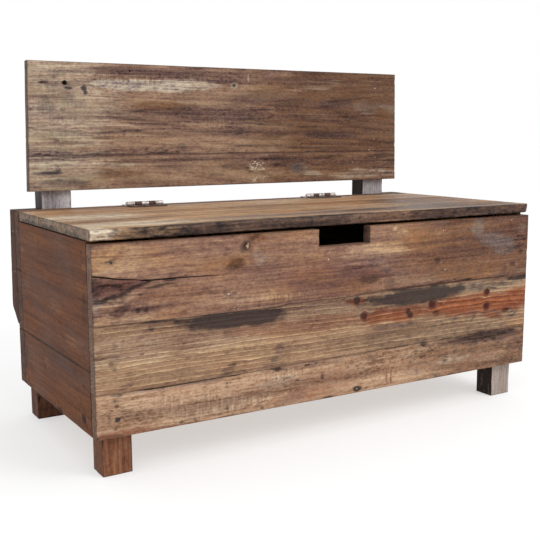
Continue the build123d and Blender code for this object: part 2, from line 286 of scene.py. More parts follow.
@dataclass(frozen=True)
class Knot:
    """A branch that was cut through; stretch is its length along the grain over its width."""

    place: Place
    radius: float
    stretch: float = 1.3
    strength: float = 1.0

    def lay(self, surface: Surface, number: int) -> None:
        """Lay the knot on a board and push the grain round it.

        Args:
            surface: the board's skin.
            number: which of the board's marks this is.
        """
        u, v, _ = surface.points.T
        across = v - self.place[1]
        square = (((u - self.place[0]) / self.stretch) ** 2 + across**2) / self.radius**2
        surface.across -= across * KNOT_PUSH / (square + KNOT_SOFTNESS) * np.exp(-KNOT_FADE * square)
        ragged = 0.5 * (KNOTTED.at(surface.points, number) - 0.5)
        core = smooth(*KNOT_RIM, np.sqrt(square) + ragged)
        surface.knot = np.maximum(surface.knot, self.strength * core)
        surface.knot_rings += core * np.sqrt(square) * self.radius
        surface.depth += KNOT_DEPTH * core * np.clip(square, 0, 1)


# How far past its ends a crack still opens, as a share of its length, and the length of its bends
CRACK_OVERRUN = 0.02
CRACK_BEND = 30
# Where a crack and a hole end and where they are at their deepest, as shares of their half width
CRACK_RIM = (1.0, 0.3)
HOLE_RIM = (1.15, 0.8)


@dataclass(frozen=True)
class Crack:
    """A split along the grain that closes towards its end."""

    place: Place
    end: Place
    width: float
    depth: float

    def lay(self, surface: Surface, number: int) -> None:
        """Open the crack in a board.

        Args:
            surface: the board's skin.
            number: which of the board's marks this is.
        """
        u, v, _ = surface.points.T
        share = (u - self.place[0]) / (self.end[0] - self.place[0])
        share = np.clip(share, -CRACK_OVERRUN, 1 + CRACK_OVERRUN)
        line = self.place[1] + share * (self.end[1] - self.place[1])
        bends = value_noise(np.stack([u / CRACK_BEND, 0 * u, 0 * u], axis=1), surface.seed + number)
        line += 2 * (bends - 0.5)
        width = self.width * np.sqrt(np.clip(1 - share, 0, 1)) * (share > -CRACK_OVERRUN)
        surface.cut(smooth(*CRACK_RIM, np.abs(v - line) / np.maximum(width, 0.01)), self.depth)


@dataclass(frozen=True)
class Hole:
    """A small round hole or pit."""

    place: Place
    radius: float
    depth: float

    def lay(self, surface: Surface, number: int) -> None:
        """Sink the hole into a board.

        Args:
            surface: the board's skin.
            number: not used.
        """
        u, v, _ = surface.points.T
        far = np.hypot(u - self.place[0], v - self.place[1]) / self.radius
        surface.cut(smooth(*HOLE_RIM, far), self.depth)


# A stain of each tone, in the tones' own order
dark, warm, pale, grey, plum, saw, chew, speck = (partial(Stain, tone) for tone in Tone)

Mark = Stain | Knot | Crack | Hole
Marks = tuple[Mark, ...]


@dataclass(frozen=True)
class Seat:
    """Where a nail or screw sits: the middle of its head's top, its way out and its sizes."""

    place: Array
    axis: Array
    head_radius: float
    length: float


# Finishes


def linear(code: str) -> Colour:
    """Turn an sRGB hex colour into linear RGBA."""
    parts = [int(code[i : i + 2], 16) / 255 for i in (0, 2, 4)]
    return (*(c / 12.92 if c <= 0.04045 else ((c + 0.055) / 1.055) ** 2.4 for c in parts), 1.0)


def tint(code: str, base: str) -> Colour:
    """Give what turns the base colour into another one by multiplying."""
    return tuple(a / b for a, b in zip(linear(code), linear(base)))


def add(tree: Tree, kind: str, inputs: dict | None = None, **settings: object) -> bpy.types.Node:
    """Add one node.

    Args:
        tree: the node tree that gets it.
        kind: its type name.
        inputs: what each input takes, by name or number: a value, a socket, a node for its first
            output, or a list of these.
        settings: the node's own properties.

    Returns:
        The new node.
    """
    node = tree.nodes.new(kind)
    for name, value in settings.items():
        setattr(node, name, value)
    for key, value in (inputs or {}).items():
        for source in value if isinstance(value, list) else [value]:
            if isinstance(source, bpy.types.Node):
                source = source.outputs[0]
            if isinstance(source, Socket):
                tree.links.new(source, node.inputs[key])
            else:
                node.inputs[key].default_value = source
    return node


# Numbers of the colour sockets of the Mix node, whose names repeat
MIX_A, MIX_B, MIX_RESULT = 6, 7, 2


@dataclass(frozen=True)
class Coat:
    """A coat of colour that goes from nothing to its full strength as its mask rises.

    A breaker is a pattern that is added to the mask, so that the coat's edge breaks up.
    """

    colour: Colour
    mask: Socket
    none: float
    full: float
    strength: float = 1.0
    blend: str = "MIX"
    breaker: Socket | None = None
    spread: float = 0.0

    def over(self, tree: Tree, under: Socket | Colour) -> Socket:
        """Lay the coat over a colour.

        Args:
            tree: the material's nodes.
            under: what lies under the coat.

        Returns:
            The colour with its coat.
        """
        mask, shift = self.mask, self.spread / 2
        if self.breaker:
            mask = add(tree, "ShaderNodeMath", {0: self.breaker, 1: self.spread, 2: mask},
                       operation="MULTIPLY_ADD")
        share = add(tree, "ShaderNodeMapRange", {"Value": mask, "From Min": self.none + shift,
                                                 "From Max": self.full + shift, "To Max": self.strength})
        mix = add(tree, "ShaderNodeMix", {0: share, MIX_A: under, MIX_B: self.colour},
                  data_type="RGBA", blend_type=self.blend)
        return mix.outputs[MIX_RESULT]


def noise(tree: Tree, place: Socket, size: Sequence[float], detail: float) -> Socket:
    """Add a noise pattern.

    Args:
        tree: the material's nodes.
        place: the coordinates it reads.
        size: its size along each axis, in millimetres.
        detail: its number of octaves.

    Returns:
        The pattern, from 0 to 1.
    """
    scale = tuple(1 / (length * MM) for length in size)
    scaled = add(tree, "ShaderNodeVectorMath", {0: place, 1: scale}, operation="MULTIPLY")
    return add(tree, "ShaderNodeTexNoise", {"Vector": scaled, "Scale": 1.0, "Detail": detail}).outputs[0]


def surfaced(name: str) -> tuple[bpy.types.Material, Tree]:
    """Make an empty material.

    Args:
        name: the material's name.

    Returns:
        The material and its nodes.
    """
    material = bpy.data.materials.new(name)
    material.use_nodes = True
    material.node_tree.nodes.clear()
    return material, material.node_tree


# Patterns of wood: size along and across the grain in millimetres, and octaves; real fibres are finer
GRAIN = {
    "fibre": (75, 2.6, 4), "streak": (230, 7.5, 4), "band": (560, 24, 3), "cloud": (130, 55, 4),
    "mottle": (15, 6, 4), "grit": (5, 2.8, 3), "saw": (2.8, 22, 2), "chew": (13, 5, 5), "speck": (5, 3, 2),
}
# How much each pattern does to how light the wood is
GRAIN_WEIGHTS = {"fibre": 0.75, "streak": 0.65, "band": 0.6, "cloud": 0.8, "mottle": 0.8, "grit": 0.75}
# By how many rings the streaks push the rings about, and how thin the line after each ring is
RING_WANDER = 1.4
EARLY_SHARPNESS = 5.0


@dataclass(frozen=True)
class Timber:
    """A softwood finish; sizes in millimetres.

    Old pine under thin wax: streaks and fibres along the grain, ring lines, tones that follow
    the marks of the board, a dull gloss, darker wood where dirt has gone in and where some marks
    lay painted shade, and nearly black painted shade in cracks and holes.
    """

    name: str
    body: str
    shade: str
    light: str
    line: str
    warm: str
    pale: str
    grey: str
    plum: str = "5f4a48"
    dark: str = "352b2a"
    knot: str = "46322a"
    end: str = "64524b"
    # The colour of cracks and holes, nearly black: painted shade
    pit: str = "0c0908"
    ring_width: float = 9.0
    ring_strength: float = 0.6
    ring_sharpness: float = 2.2
    contrast: float = 1.0
    roughness: float = 0.5
    specular: float = 0.05

    def lightness(self, tree: Tree, pattern: dict[str, Socket]) -> Socket:
        """Add up the patterns by their weights, around a half.

        Args:
            tree: the material's nodes.
            pattern: the patterns of the wood by name.

        Returns:
            How light the wood is.
        """
        level = 0.5 - self.contrast * sum(GRAIN_WEIGHTS.values()) / 2
        for name, weight in GRAIN_WEIGHTS.items():
            level = add(tree, "ShaderNodeMath", {0: pattern[name], 1: self.contrast * weight, 2: level},
                        operation="MULTIPLY_ADD").outputs[0]
        return level

    def rings(self, tree: Tree, streak: Socket) -> tuple[Socket, Socket]:
        """Make rings that darken slowly, end at once and wander with the streaks.

        Args:
            tree: the material's nodes.
            streak: the pattern of streaks.

        Returns:
            The late wood of each ring, and the thin line after it.
        """
        ring = add(tree, "ShaderNodeAttribute", attribute_name="ring").outputs["Fac"]
        turns = add(tree, "ShaderNodeMath", {0: ring, 1: 1 / (self.ring_width * MM)}, operation="MULTIPLY")
        wander = add(tree, "ShaderNodeMath", {0: streak, 1: RING_WANDER, 2: turns},
                     operation="MULTIPLY_ADD")
        phase = add(tree, "ShaderNodeMath", {0: wander}, operation="FRACT")
        late = add(tree, "ShaderNodeMath", {0: phase, 1: self.ring_sharpness}, operation="POWER")
        rest = add(tree, "ShaderNodeMath", {0: 1.0, 1: phase}, operation="SUBTRACT")
        early = add(tree, "ShaderNodeMath", {0: rest, 1: EARLY_SHARPNESS}, operation="POWER")
        return late.outputs[0], early.outputs[0]

    def coats(self, tree: Tree, pattern: dict[str, Socket], late: Socket,
              early: Socket) -> tuple[Coat, ...]:
        """Give the coats that colour the wood, from the lowest up.

        Args:
            tree: the material's nodes.
            pattern: the patterns of the wood by name.
            late: the late wood of each ring.
            early: the thin line after it.

        Returns:
            The coats.
        """
        channels = {}
        for name in ("stains", "traces", "wear"):
            carrier = add(tree, "ShaderNodeAttribute", attribute_name=name)
            parts = add(tree, "ShaderNodeSeparateColor", {0: carrier.outputs["Color"]})
            channels[name] = [*parts.outputs, carrier.outputs["Alpha"]]
        mask = {tone: channels[tone.value[0]][tone.value[1]] for tone in Tone}
        edge, knot, pit, end = channels["wear"]
        level = self.lightness(tree, pattern)
        fibre, mottle, cloud = pattern["fibre"], pattern["mottle"], pattern["cloud"]
        shade, light, line, dirt_and_shade = (tint(code, self.body)
                                    for code in (self.shade, self.light, self.line, self.dark))
        glaze = partial(Coat, blend="MULTIPLY")
        return (
            Coat(linear(self.warm), mask[Tone.WARM], 0.1, 1.0, 0.95, breaker=fibre, spread=1.0),
            Coat(linear(self.pale), mask[Tone.PALE], 0.1, 1.0, 0.9, breaker=fibre, spread=1.0),
            Coat(linear(self.grey), mask[Tone.GREY], 0.1, 1.0, 0.8, breaker=mottle, spread=1.4),
            Coat(linear(self.plum), mask[Tone.PLUM], 0.1, 1.0, 0.85, breaker=mottle, spread=1.4),
            Coat(linear(self.warm), cloud, 0.5, 0.72, 0.45, breaker=fibre, spread=0.3),
            Coat(linear(self.plum), pattern["band"], 0.5, 0.28, 0.5, breaker=mottle, spread=-0.2),
            Coat(linear(self.end), end, 0.3, 0.9, 0.9, breaker=mottle, spread=0.8),
            glaze(shade, level, 0.5, 0.05),
            glaze(light, level, 0.5, 0.95),
            glaze(line, late, 0.2, 1.0, self.ring_strength, breaker=cloud, spread=1.2),
            glaze(shade, early, 0.2, 1.0, 0.8 * self.ring_strength, breaker=cloud, spread=1.2),
            glaze(light, mask[Tone.SAW], 0.7, 1.5, 0.45, breaker=pattern["saw"], spread=2.4),
            glaze(shade, mask[Tone.SAW], 0.5, 1.6, 0.5, breaker=pattern["saw"], spread=-2.4),
            Coat(linear(self.knot), knot, 0.1, 1.0, 0.95, breaker=mottle, spread=0.8),
            glaze(dirt_and_shade, edge, 0.15, 1.0, 0.8, breaker=mottle, spread=1.0),
            # The dark tone: dirt, and the painted shade that some marks lay, as on the feet and posts
            glaze(dirt_and_shade, mask[Tone.DARK], 0.15, 0.9, breaker=mottle, spread=1.3),
            Coat(linear(self.dark), mask[Tone.DARK], 0.8, 1.1, 0.6, breaker=mottle, spread=0.5),
            glaze(dirt_and_shade, mask[Tone.CHEW], 0.95, 1.5, 0.9, breaker=pattern["chew"], spread=3.6),
            Coat(linear(self.pale), mask[Tone.SPECK], 1.15, 1.5, 0.9, breaker=pattern["speck"], spread=3.0),
            # Cracks and holes turn nearly black: painted shade
            Coat(linear(self.pit), pit, 0.1, 0.9),
        )

    def material(self) -> bpy.types.Material:
        """Build the material's nodes."""
        material, tree = surfaced(self.name)
        grain = add(tree, "ShaderNodeAttribute", attribute_name="grain").outputs["Vector"]
        pattern = {name: noise(tree, grain, (along, across, across), detail)
                   for name, (along, across, detail) in GRAIN.items()}
        late, early = self.rings(tree, pattern["streak"])
        colour = linear(self.body)
        for coat in self.coats(tree, pattern, late, early):
            colour = coat.over(tree, colour)
        fibres = add(tree, "ShaderNodeMath", {0: pattern["fibre"], 1: 0.8, 2: pattern["mottle"]},
                     operation="MULTIPLY_ADD")
        relief = add(tree, "ShaderNodeMath", {0: late, 1: 0.4, 2: fibres}, operation="MULTIPLY_ADD")
        bump = add(tree, "ShaderNodeBump", {"Height": relief, "Strength": 0.6, "Distance": 0.8 * MM})
        gloss = add(tree, "ShaderNodeMapRange", {
            "Value": pattern["cloud"], "From Min": 0.3, "From Max": 0.7,
            "To Min": self.roughness - 0.08, "To Max": self.roughness + 0.16,
        })
        shader = add(tree, "ShaderNodeBsdfPrincipled", {
            "Base Color": colour, "Roughness": gloss, "Specular IOR Level": self.specular,
            "Normal": bump,
        })
        add(tree, "ShaderNodeOutputMaterial", {"Surface": shader})
        return material


@dataclass(frozen=True)
class Steel:
    """Plain steel that has dulled: grey metal with darker, rougher rust spots; spot in millimetres."""

    name: str
    bright: str
    dull: str
    rust: str
    spot: float = 3.0
    roughness: float = 0.42
    metallic: float = 0.85

    def material(self) -> bpy.types.Material:
        """Build the material's nodes."""
        material, tree = surfaced(self.name)
        place = add(tree, "ShaderNodeTexCoord").outputs["Object"]
        wide = noise(tree, place, [2 * self.spot] * 3, 4)
        fine = noise(tree, place, [0.7 * self.spot] * 3, 4)
        dulled = Coat(linear(self.dull), wide, 0.4, 0.65, 0.9).over(tree, linear(self.bright))
        colour = Coat(linear(self.rust), fine, 0.52, 0.68, 0.8).over(tree, dulled)
        rough = add(tree, "ShaderNodeMapRange", {"Value": fine, "From Min": 0.45, "From Max": 0.65,
                                                 "To Min": self.roughness, "To Max": 0.8})
        bump = add(tree, "ShaderNodeBump", {"Height": fine, "Strength": 0.3, "Distance": 0.2 * MM})
        shader = add(tree, "ShaderNodeBsdfPrincipled", {
            "Base Color": colour, "Roughness": rough, "Metallic": self.metallic,
            "Normal": bump,
        })
        add(tree, "ShaderNodeOutputMaterial", {"Surface": shader})
        return material


# Thin wax on brown pine: soft dark streaks, wide faint rings
TOP_FRONT = Timber(
    "waxed reclaimed pine, brown", body="846353", shade="4b3632", light="ab8869", line="624531",
    warm="7b4e32", pale="ad8d73", grey="88766f", plum="6c4a43", dark="42342f", end="6a5248",
    ring_width=11, ring_strength=0.25,
)
# Thin wax on golden pine: narrow pale ring lines, an orange heart, dark red knots
MIDDLE_FRONT = Timber(
    "waxed reclaimed pine, golden", body="93745b", shade="5f453a", light="b09073", line="c5a67d",
    warm="733d27", pale="b79f86", grey="85715e", plum="6e534a", dark="443833", knot="3d1a1a",
    end="644d41", ring_width=6.5, ring_strength=0.8, ring_sharpness=3.0, contrast=0.9,
)
# Saw-rough pine, hardly waxed: pale, blotchy and dull
BOTTOM_FRONT = Timber(
    "rough sawn reclaimed pine, tan", body="ab896e", shade="6f503d", light="c7a98c", line="8d6950",
    warm="885740", pale="c6aa8e", grey="9c8776", plum="6a5249", dark="46372f", end="664f42",
    ring_width=11, ring_strength=0.35, contrast=1.3, roughness=0.6,
)
# Dark, even and reddish brown pine, the grain half hidden
SIDE = Timber(
    "reclaimed pine, dark chocolate", body="613b27", shade="43271a", light="774d31", line="512f1c",
    warm="6d432b", pale="845739", grey="694e3b", plum="4f3326", dark="2b201c", knot="351d11",
    end="563928", ring_width=16, ring_strength=0.35, contrast=0.8,
)
# Pine that was never planed or waxed: brown, dull and dusty
REAR = Timber(
    "old unplaned pine, brown", body="75594a", shade="4b372d", light="937762", line="5a4235",
    warm="7e5438", pale="99806c", grey="7b6c62", plum="66503f", dark="2e2420", end="553f37",
    roughness=0.66,
)
# Wax rubbed by use on ochre pine: light, strongly streaked, a little gloss
LID = Timber(
    "waxed reclaimed pine, ochre", body="af8d6b", shade="775842", light="cfaf8b", line="8b684b",
    warm="a27349", pale="cfbfa6", grey="81736a", plum="6e5449", dark="372923", knot="5d4535",
    end="796451", ring_width=10, ring_strength=0.5, contrast=1.5, specular=0.15,
)
# Thin wax on grey-brown pine: flame grain and pale worn patches
REST = Timber(
    "waxed reclaimed pine, grey-brown", body="937460", shade="513d3d", light="b1977a", line="634c3e",
    warm="67442d", pale="c2b29d", grey="7b6d64", plum="674f47", dark="463837", knot="3e302e",
    end="5f4a42", ring_width=10, ring_strength=0.42, contrast=1.1,
)
# Pine greyed by weather: silver, with fine lines; its nearly black grey is painted shade on the
# posts' sides, and its pale serves as painted light on the left post's front and back
POST = Timber(
    "weathered pine, silver grey", body="b3abaa", shade="746867", light="d9d3d4", line="867c7a",
    warm="6f6e74", pale="ded8d9", grey="261b17", plum="9d9496", dark="2c2321", knot="4b3f3e",
    end="8a7e7b", ring_width=6,
)
# Weathered pine under old stain: nearly black brown
CHEEK = Timber(
    "weathered pine, grey brown", body="44271a", shade="2c170d", light="583726", line="351d12",
    warm="4d2816", pale="66452f", grey="533a2d", plum="3a2318", dark="2e2422", knot="201009",
    end="3c241a", ring_width=7,
)
# Red-brown stain on pine: warm and even
RED_FOOT = Timber(
    "stained pine, red brown", body="7a513c", shade="4d3024", light="946a50", line="603b2a",
    warm="8e5a3a", pale="9a7458", grey="75655c", plum="6a4638", dark="2c1a15", knot="3c241b",
    end="5a3d30", ring_width=6,
)
# Pine greyed by weather: pale and dry
GREY_FOOT = Timber(
    "weathered pine, pale grey", body="9c8e85", shade="6f6158", light="b2a69e", line="817168",
    warm="8f7f74", pale="b4a9a2", grey="908682", plum="8a7e7a", dark="2c2422", knot="463a34",
    end="695b55", ring_width=6,
)
# Bare pine from the saw: light yellow-brown, no gloss
INNER = Timber(
    "bare sawn pine", body="a98a66", shade="7a5d41", light="c4a67e", line="8a6947", warm="a87850",
    pale="c8ae8a", grey="94826c", plum="9a7c5c", dark="4d3b2e", knot="5e4029", end="8e7252", roughness=0.7,
)
# Steel painted pale: the dots are painted glints
PAINTED_GLINT_NAIL = Steel("steel nail head, pale painted glint", bright="d6ccbf", dull="b0a598", rust="7d6656", metallic=0.15)
# Forge-black iron: dull black dots
BLACK_NAIL = Steel(
    "old iron nail, black", bright="332a28", dull="241d1c", rust="3a2c26", roughness=0.6, metallic=0.2,
)
# Iron under old rust: brown dots that hardly shine
DARK_NAIL = Steel(
    "old iron nail, rusted dark", bright="66524a", dull="4d3e38", rust="5c4436", roughness=0.6,
    metallic=0.3,
)
# Zinc plate gone dull: light grey with dark spots
HINGE_STEEL = Steel(
    "zinc plated steel, dulled", bright="dad3cd", dull="b0a7a0", rust="6a5850", spot=5.0, metallic=0.5,
)
# Steel whose plate is gone: dark brown and rough
RUSTED_STEEL = Steel(
    "rusted steel, dark brown", bright="5e4238", dull="45302a", rust="2e211e", spot=5.0, roughness=0.6,
    metallic=0.2,
)


# Boards


# Lattice lines beside rims and beside small marks, in millimetres
RIM_STEPS = (0.4, 0.9, 1.6, 2.6, 4.0)
FINE_STEPS = (-4.5, -3.2, -2.2, -1.4, -0.7, 0.0, 0.7, 1.4, 2.2, 3.2, 4.5)
LEAST_STEP = 0.25
CRACK_MARGIN = 3.5
CRACK_STEP = 0.7
# How far a board grows into a seam, so that none of the gap shows, in millimetres
SEAM_GROWTH = 0.4
# How near a head lies to the face that it is in, in millimetres, and how straight it stands there
SEAT_REACH = 3.0
SEAT_AIM = 0.9
# Where chips start and are whole, and the share of a board's thickness that a worn edge may take
CHIP_RANGE = (0.56, 0.74)
LARGEST_ROUND = 0.42
# The dirt round a head: its reach along and across as shares of the head's radius, strength and depth
DIRT_REACH = (2.0, 1.5)
DIRT_STRENGTH = 0.4
DIRT_DEPTH = 0.6
# How far the grain sways, in millimetres, in the rings and in the fibres
RING_SWAY = 10
FIBRE_SWAY = 8
# How far the patterns of boards with following seeds lie apart, in metres
GRAIN_OFFSET = 1.7
# From which strength on a knot shows its own rings
KNOT_LIMIT = 0.3
# Chance marks: reach along and across as shares of the board, strength, and the radius of knots
CHANCE_REACH = ((0.04, 0.2), (0.05, 0.2))
CHANCE_STRENGTH = (0.4, 0.8)
CHANCE_KNOT = (3, 8)


def ruled(low: float, high: float, spacing: float, extra: Iterable[float] = (),
          pinned: Iterable[float] = ()) -> Array:
    """Rule the lattice lines of one axis, closer together at both rims.

    Args:
        low: the first line.
        high: the last line.
        spacing: the usual step.
        extra: lines that may be left out where others are near.
        pinned: lines that stay.

    Returns:
        The lines in order.
    """
    held = sorted({low, high, *pinned})
    rims = [h + sign * step for h in held for step in RIM_STEPS for sign in (-1, 1)]
    count = max(2, round((high - low) / spacing))
    lines = list(held)
    for line in (*rims, *extra, *np.linspace(low, high, count + 1)):
        if low < line < high and min(abs(line - other) for other in lines) > LEAST_STEP:
            lines.append(line)
    return np.array(sorted(lines))


def shell(us: Array, vs: Array, ws: Array, solid: Array) -> tuple[Array, Array]:
    """Close the skin of a plate that is cut out of a lattice.

    Args:
        us: lattice lines along the plate.
        vs: lattice lines across it.
        ws: lattice lines through it.
        solid: for each cell along and across, whether there is wood.

    Returns:
        The points, N by 3, and the quads, M by 4.
    """
    cells = np.pad(solid, 1)
    touching = cells[:-1, :-1].astype(int) + cells[1:, :-1] + cells[:-1, 1:] + cells[1:, 1:]
    used = np.zeros((len(us), len(vs), len(ws)), bool)
    used[:, :, 0] = used[:, :, -1] = touching > 0
    used[(touching > 0) & (touching < 4)] = True
    ids = np.full(used.shape, -1)
    ids[used] = np.arange(used.sum())
    i, j, k = np.nonzero(used)
    points = np.stack([us[i], vs[j], ws[k]], axis=1)
    i, j = np.nonzero(solid)
    quads = []
    for layer in (0, len(ws) - 1):
        ring = [ids[i, j, layer], ids[i + 1, j, layer], ids[i + 1, j + 1, layer], ids[i, j + 1, layer]]
        quads.append(np.stack(ring, axis=1))
    along = np.nonzero(cells[1:-1, :-1] != cells[1:-1, 1:])
    across = np.nonzero(cells[:-1, 1:-1] != cells[1:, 1:-1])
    for (i, j), (di, dj) in ((along, (1, 0)), (across, (0, 1))):
        for layer in range(len(ws) - 1):
            ring = [ids[i, j, layer], ids[i + di, j + dj, layer]]
            ring += [ids[i + di, j + dj, layer + 1], ids[i, j, layer + 1]]
            quads.append(np.stack(ring, axis=1))
    return points, np.concatenate(quads)


def finished(name: str, mesh: bpy.types.Mesh, body: str, slot: str, *nodes: str) -> None:
    """Make a piece of a mesh and tie it to the frame.

    Args:
        name: the piece's name.
        mesh: its mesh, in place.
        body: the body that carries it.
        slot: not used.
        nodes: the nodes that it stands for.
    """
    piece = bpy.data.objects.new(name, mesh)
    bpy.context.scene.collection.objects.link(piece)
    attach(piece, body)
    if nodes:
        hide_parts(*nodes)
    log.info("%s: %d faces on %s", name, len(mesh.polygons), body)


@dataclass
class Board:
    """One worn plank in the place of its node; sizes in millimetres on the board's own axes.

    The grain runs along u, the width along v, and w comes out of the show face.
    """

    node: str
    along: Way
    facing: Way
    timber: Timber
    slot: str
    seed: int
    marks: Marks = ()
    body: str = "base"
    lean: float = 0.0
    spacing: float = 4.0
    edge: float = 1.0
    bite: float = 1.4
    waviness: float = 0.5
    heart: Place = (10.0, -45.0)
    tilt: Place = (0.01, 0.03)
    seams: tuple[Side, ...] = ()
    notch: Triple | None = None
    taper: Callable[[Array], tuple[Array, Array]] | None = None
    base_tones: dict[Tone, float] = field(default_factory=dict)
    bends: dict[Side, Places] = field(default_factory=dict)
    chance_marks: int = 0

    def axes(self) -> Array:
        """Give the board's axes as rows: along, across and out of the face."""
        u = np.array(self.along.value)
        w = np.array(self.facing.value)
        v = np.cross(w, u)
        cosine, sine = math.cos(math.radians(self.lean)), math.sin(math.radians(self.lean))
        return np.stack([u, v * cosine - w * sine, w * cosine + v * sine])

    @cached_property
    def limits(self) -> tuple[Array, Array]:
        """Give the lowest and highest corner of the node on the board's axes, with seams drawn close."""
        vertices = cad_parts[self.node].data.vertices
        places = np.array([vertex.co for vertex in vertices]) / MM @ self.axes().T
        low, high = places.min(axis=0), places.max(axis=0)
        for side in self.seams:
            axis, sign = side.value
            (low if sign < 0 else high)[axis] += sign * SEAM_GROWTH
        return low, high

    def own_seats(self, seats: Sequence[Seat]) -> list[Seat]:
        """Find the fasteners that enter the show face.

        Args:
            seats: every fastener of the bench.

        Returns:
            The board's own ones, with their places on its axes.
        """
        axes = self.axes()
        low, high = self.limits
        found = []
        for seat in seats:
            place = axes @ seat.place
            inside = np.all(place[:2] > low[:2]) and np.all(place[:2] < high[:2])
            if inside and abs(place[2] - high[2]) < SEAT_REACH and axes[2] @ seat.axis > SEAT_AIM:
                found.append(replace(seat, place=place))
        return found

    def scattered(self) -> list[Mark]:
        """Scatter stains and knots over both faces of the board and give them."""
        low, high = self.limits
        rng = np.random.default_rng(self.seed)
        found: list[Mark] = []
        size = high - low
        tones = (Tone.DARK, Tone.PALE, Tone.WARM, Tone.PLUM, Tone.CHEW, Tone.GREY)
        for number in range(self.chance_marks):
            place = (rng.uniform(low[0], high[0]), rng.uniform(low[1], high[1]))
            reach = tuple(rng.uniform(*share) * length for share, length in zip(CHANCE_REACH, size))
            side = Side.FACE if number % 2 == 0 else Side.BACK
            tone = tones[number // 2 % len(tones)]
            found.append(Stain(tone, place, reach, rng.uniform(*CHANCE_STRENGTH), side=side))
            if number % 3 == 0:
                place = (rng.uniform(low[0], high[0]), rng.uniform(low[1], high[1]))
                found.append(Knot(place, rng.uniform(*CHANCE_KNOT)))
        return found

    def lattice(self, seats: list[Seat]) -> tuple[Array, Array]:
        """Rule the board's lattice, fine at rims, nails and cracks, and close its skin.

        Args:
            seats: fasteners in the face.

        Returns:
            Points and quads.
        """
        low, high = self.limits
        spots = [spot.place for spot in (*seats, *self.marks) if isinstance(spot, Seat | Hole)]
        extra = [[spot[axis] + step for spot in spots for step in FINE_STEPS] for axis in (0, 1)]
        for mark in self.marks:
            if isinstance(mark, Crack):
                first, last = sorted((mark.place[1], mark.end[1]))
                extra[1] += list(np.arange(first - CRACK_MARGIN, last + CRACK_MARGIN, CRACK_STEP))
        pinned: tuple[list[float], list[float]] = ([], [])
        if self.notch:
            start, end, depth = self.notch
            pinned = ([start, end], [high[1] - depth])
        us = ruled(low[0], high[0], self.spacing, extra[0], pinned[0])
        vs = ruled(low[1], high[1], self.spacing, extra[1], pinned[1])
        ws = ruled(low[2], high[2], self.spacing)
        solid = np.ones((len(us) - 1, len(vs) - 1), bool)
        if self.notch:
            middle_u = (us[1:] + us[:-1])[:, None] / 2
            middle_v = (vs[1:] + vs[:-1])[None, :] / 2
            solid = ~((middle_u > start) & (middle_u < end) & (middle_v > high[1] - depth))
        return shell(us, vs, ws, solid)

    def rounded(self, points: Array) -> tuple[Array, Array]:
        """Wear the edges round, more in some places than in others.

        Args:
            points: places on the sharp board.

        Returns:
            The worn places, and how near each is to an edge, in millimetres.
        """
        low, high = self.limits
        points = points.copy()
        lows = np.tile(low, (len(points), 1))
        highs = np.tile(high, (len(points), 1))
        if self.taper:
            share = (points[:, 1] - low[1]) / (high[1] - low[1])
            lows[:, 1], highs[:, 1] = self.taper(points[:, 0])
            points[:, 1] = lows[:, 1] + share * (highs[:, 1] - lows[:, 1])
        below = points - lows
        above = highs - points
        near = np.minimum(below, above)
        inward = np.where(below < above, 1.0, -1.0)
        if self.notch:
            start, end, depth = self.notch
            floor = high[1] - depth
            beside = points[:, 1] > floor + LEAST_STEP / 2
            for wall, sign in ((start, -1.0), (end, 1.0)):
                gap = sign * (points[:, 0] - wall)
                closer = beside & (gap >= 0) & (gap < near[:, 0])
                near[closer, 0] = gap[closer]
                inward[closer, 0] = sign
            under = (points[:, 0] > start) & (points[:, 0] < end) & (floor - points[:, 1] < near[:, 1])
            near[under, 1] = (floor - points[:, 1])[under]
            inward[under, 1] = -1.0
        chips = smooth(*CHIP_RANGE, CHIPPED.at(points, self.seed))
        radius = self.edge * uneven(RUBBED.at(points, self.seed)) + self.bite * chips
        radius = np.minimum(radius, LARGEST_ROUND * (highs - lows).min(axis=1))[:, None]
        inset = np.clip(radius - near, 0, None)
        length = np.maximum(np.linalg.norm(inset, axis=1, keepdims=True), 1e-9)
        target = np.where(inset > 0, radius - radius * inset / length, near)
        return points + (target - near) * inward, np.sort(near, axis=1)[:, 1]

    def bent(self, points: Array) -> Array:
        """Move the sides of a crooked board by their bends, and the wood between them along with them.

        Args:
            points: places on the straight board.

        Returns:
            The places on the crooked board.
        """
        low, high = self.limits
        moved = points.copy()
        for side, bend in self.bends.items():
            axis, sign = side.value
            share = np.clip((points[:, axis] - low[axis]) / (high[axis] - low[axis]), 0, 1)
            shift = np.interp(points[:, 1 - axis], *zip(*bend))
            moved[:, axis] += (share if sign > 0 else 1 - share) * shift
        return moved

    def marked(self, points: Array, normals: Array, seats: list[Seat]) -> Surface:
        """Lay every mark on the board.

        Args:
            points: places on the worn board.
            normals: outward directions there.
            seats: fasteners in the face.

        Returns:
            The skin with its marks, which are shallow at the seams.
        """
        surface = Surface(
            points,
            {side: np.clip(side.value[1] * normals[:, side.value[0]], 0, 1) for side in Side},
            {tone: np.full(len(points), self.base_tones.get(tone, 0.0)) for tone in Tone},
            self.waviness * WAVES.at(points, self.seed),
            self.seed,
        )
        marks = [*self.marks, *self.scattered()]
        for seat in seats:
            reach = (DIRT_REACH[0] * seat.head_radius, DIRT_REACH[1] * seat.head_radius)
            marks.append(dark(tuple(seat.place[:2]), reach, DIRT_STRENGTH, depth=DIRT_DEPTH))
        for number, mark in enumerate(marks):
            mark.lay(surface, number)
        for side in self.seams:
            surface.depth *= 1 - surface.facing[side]
        return surface

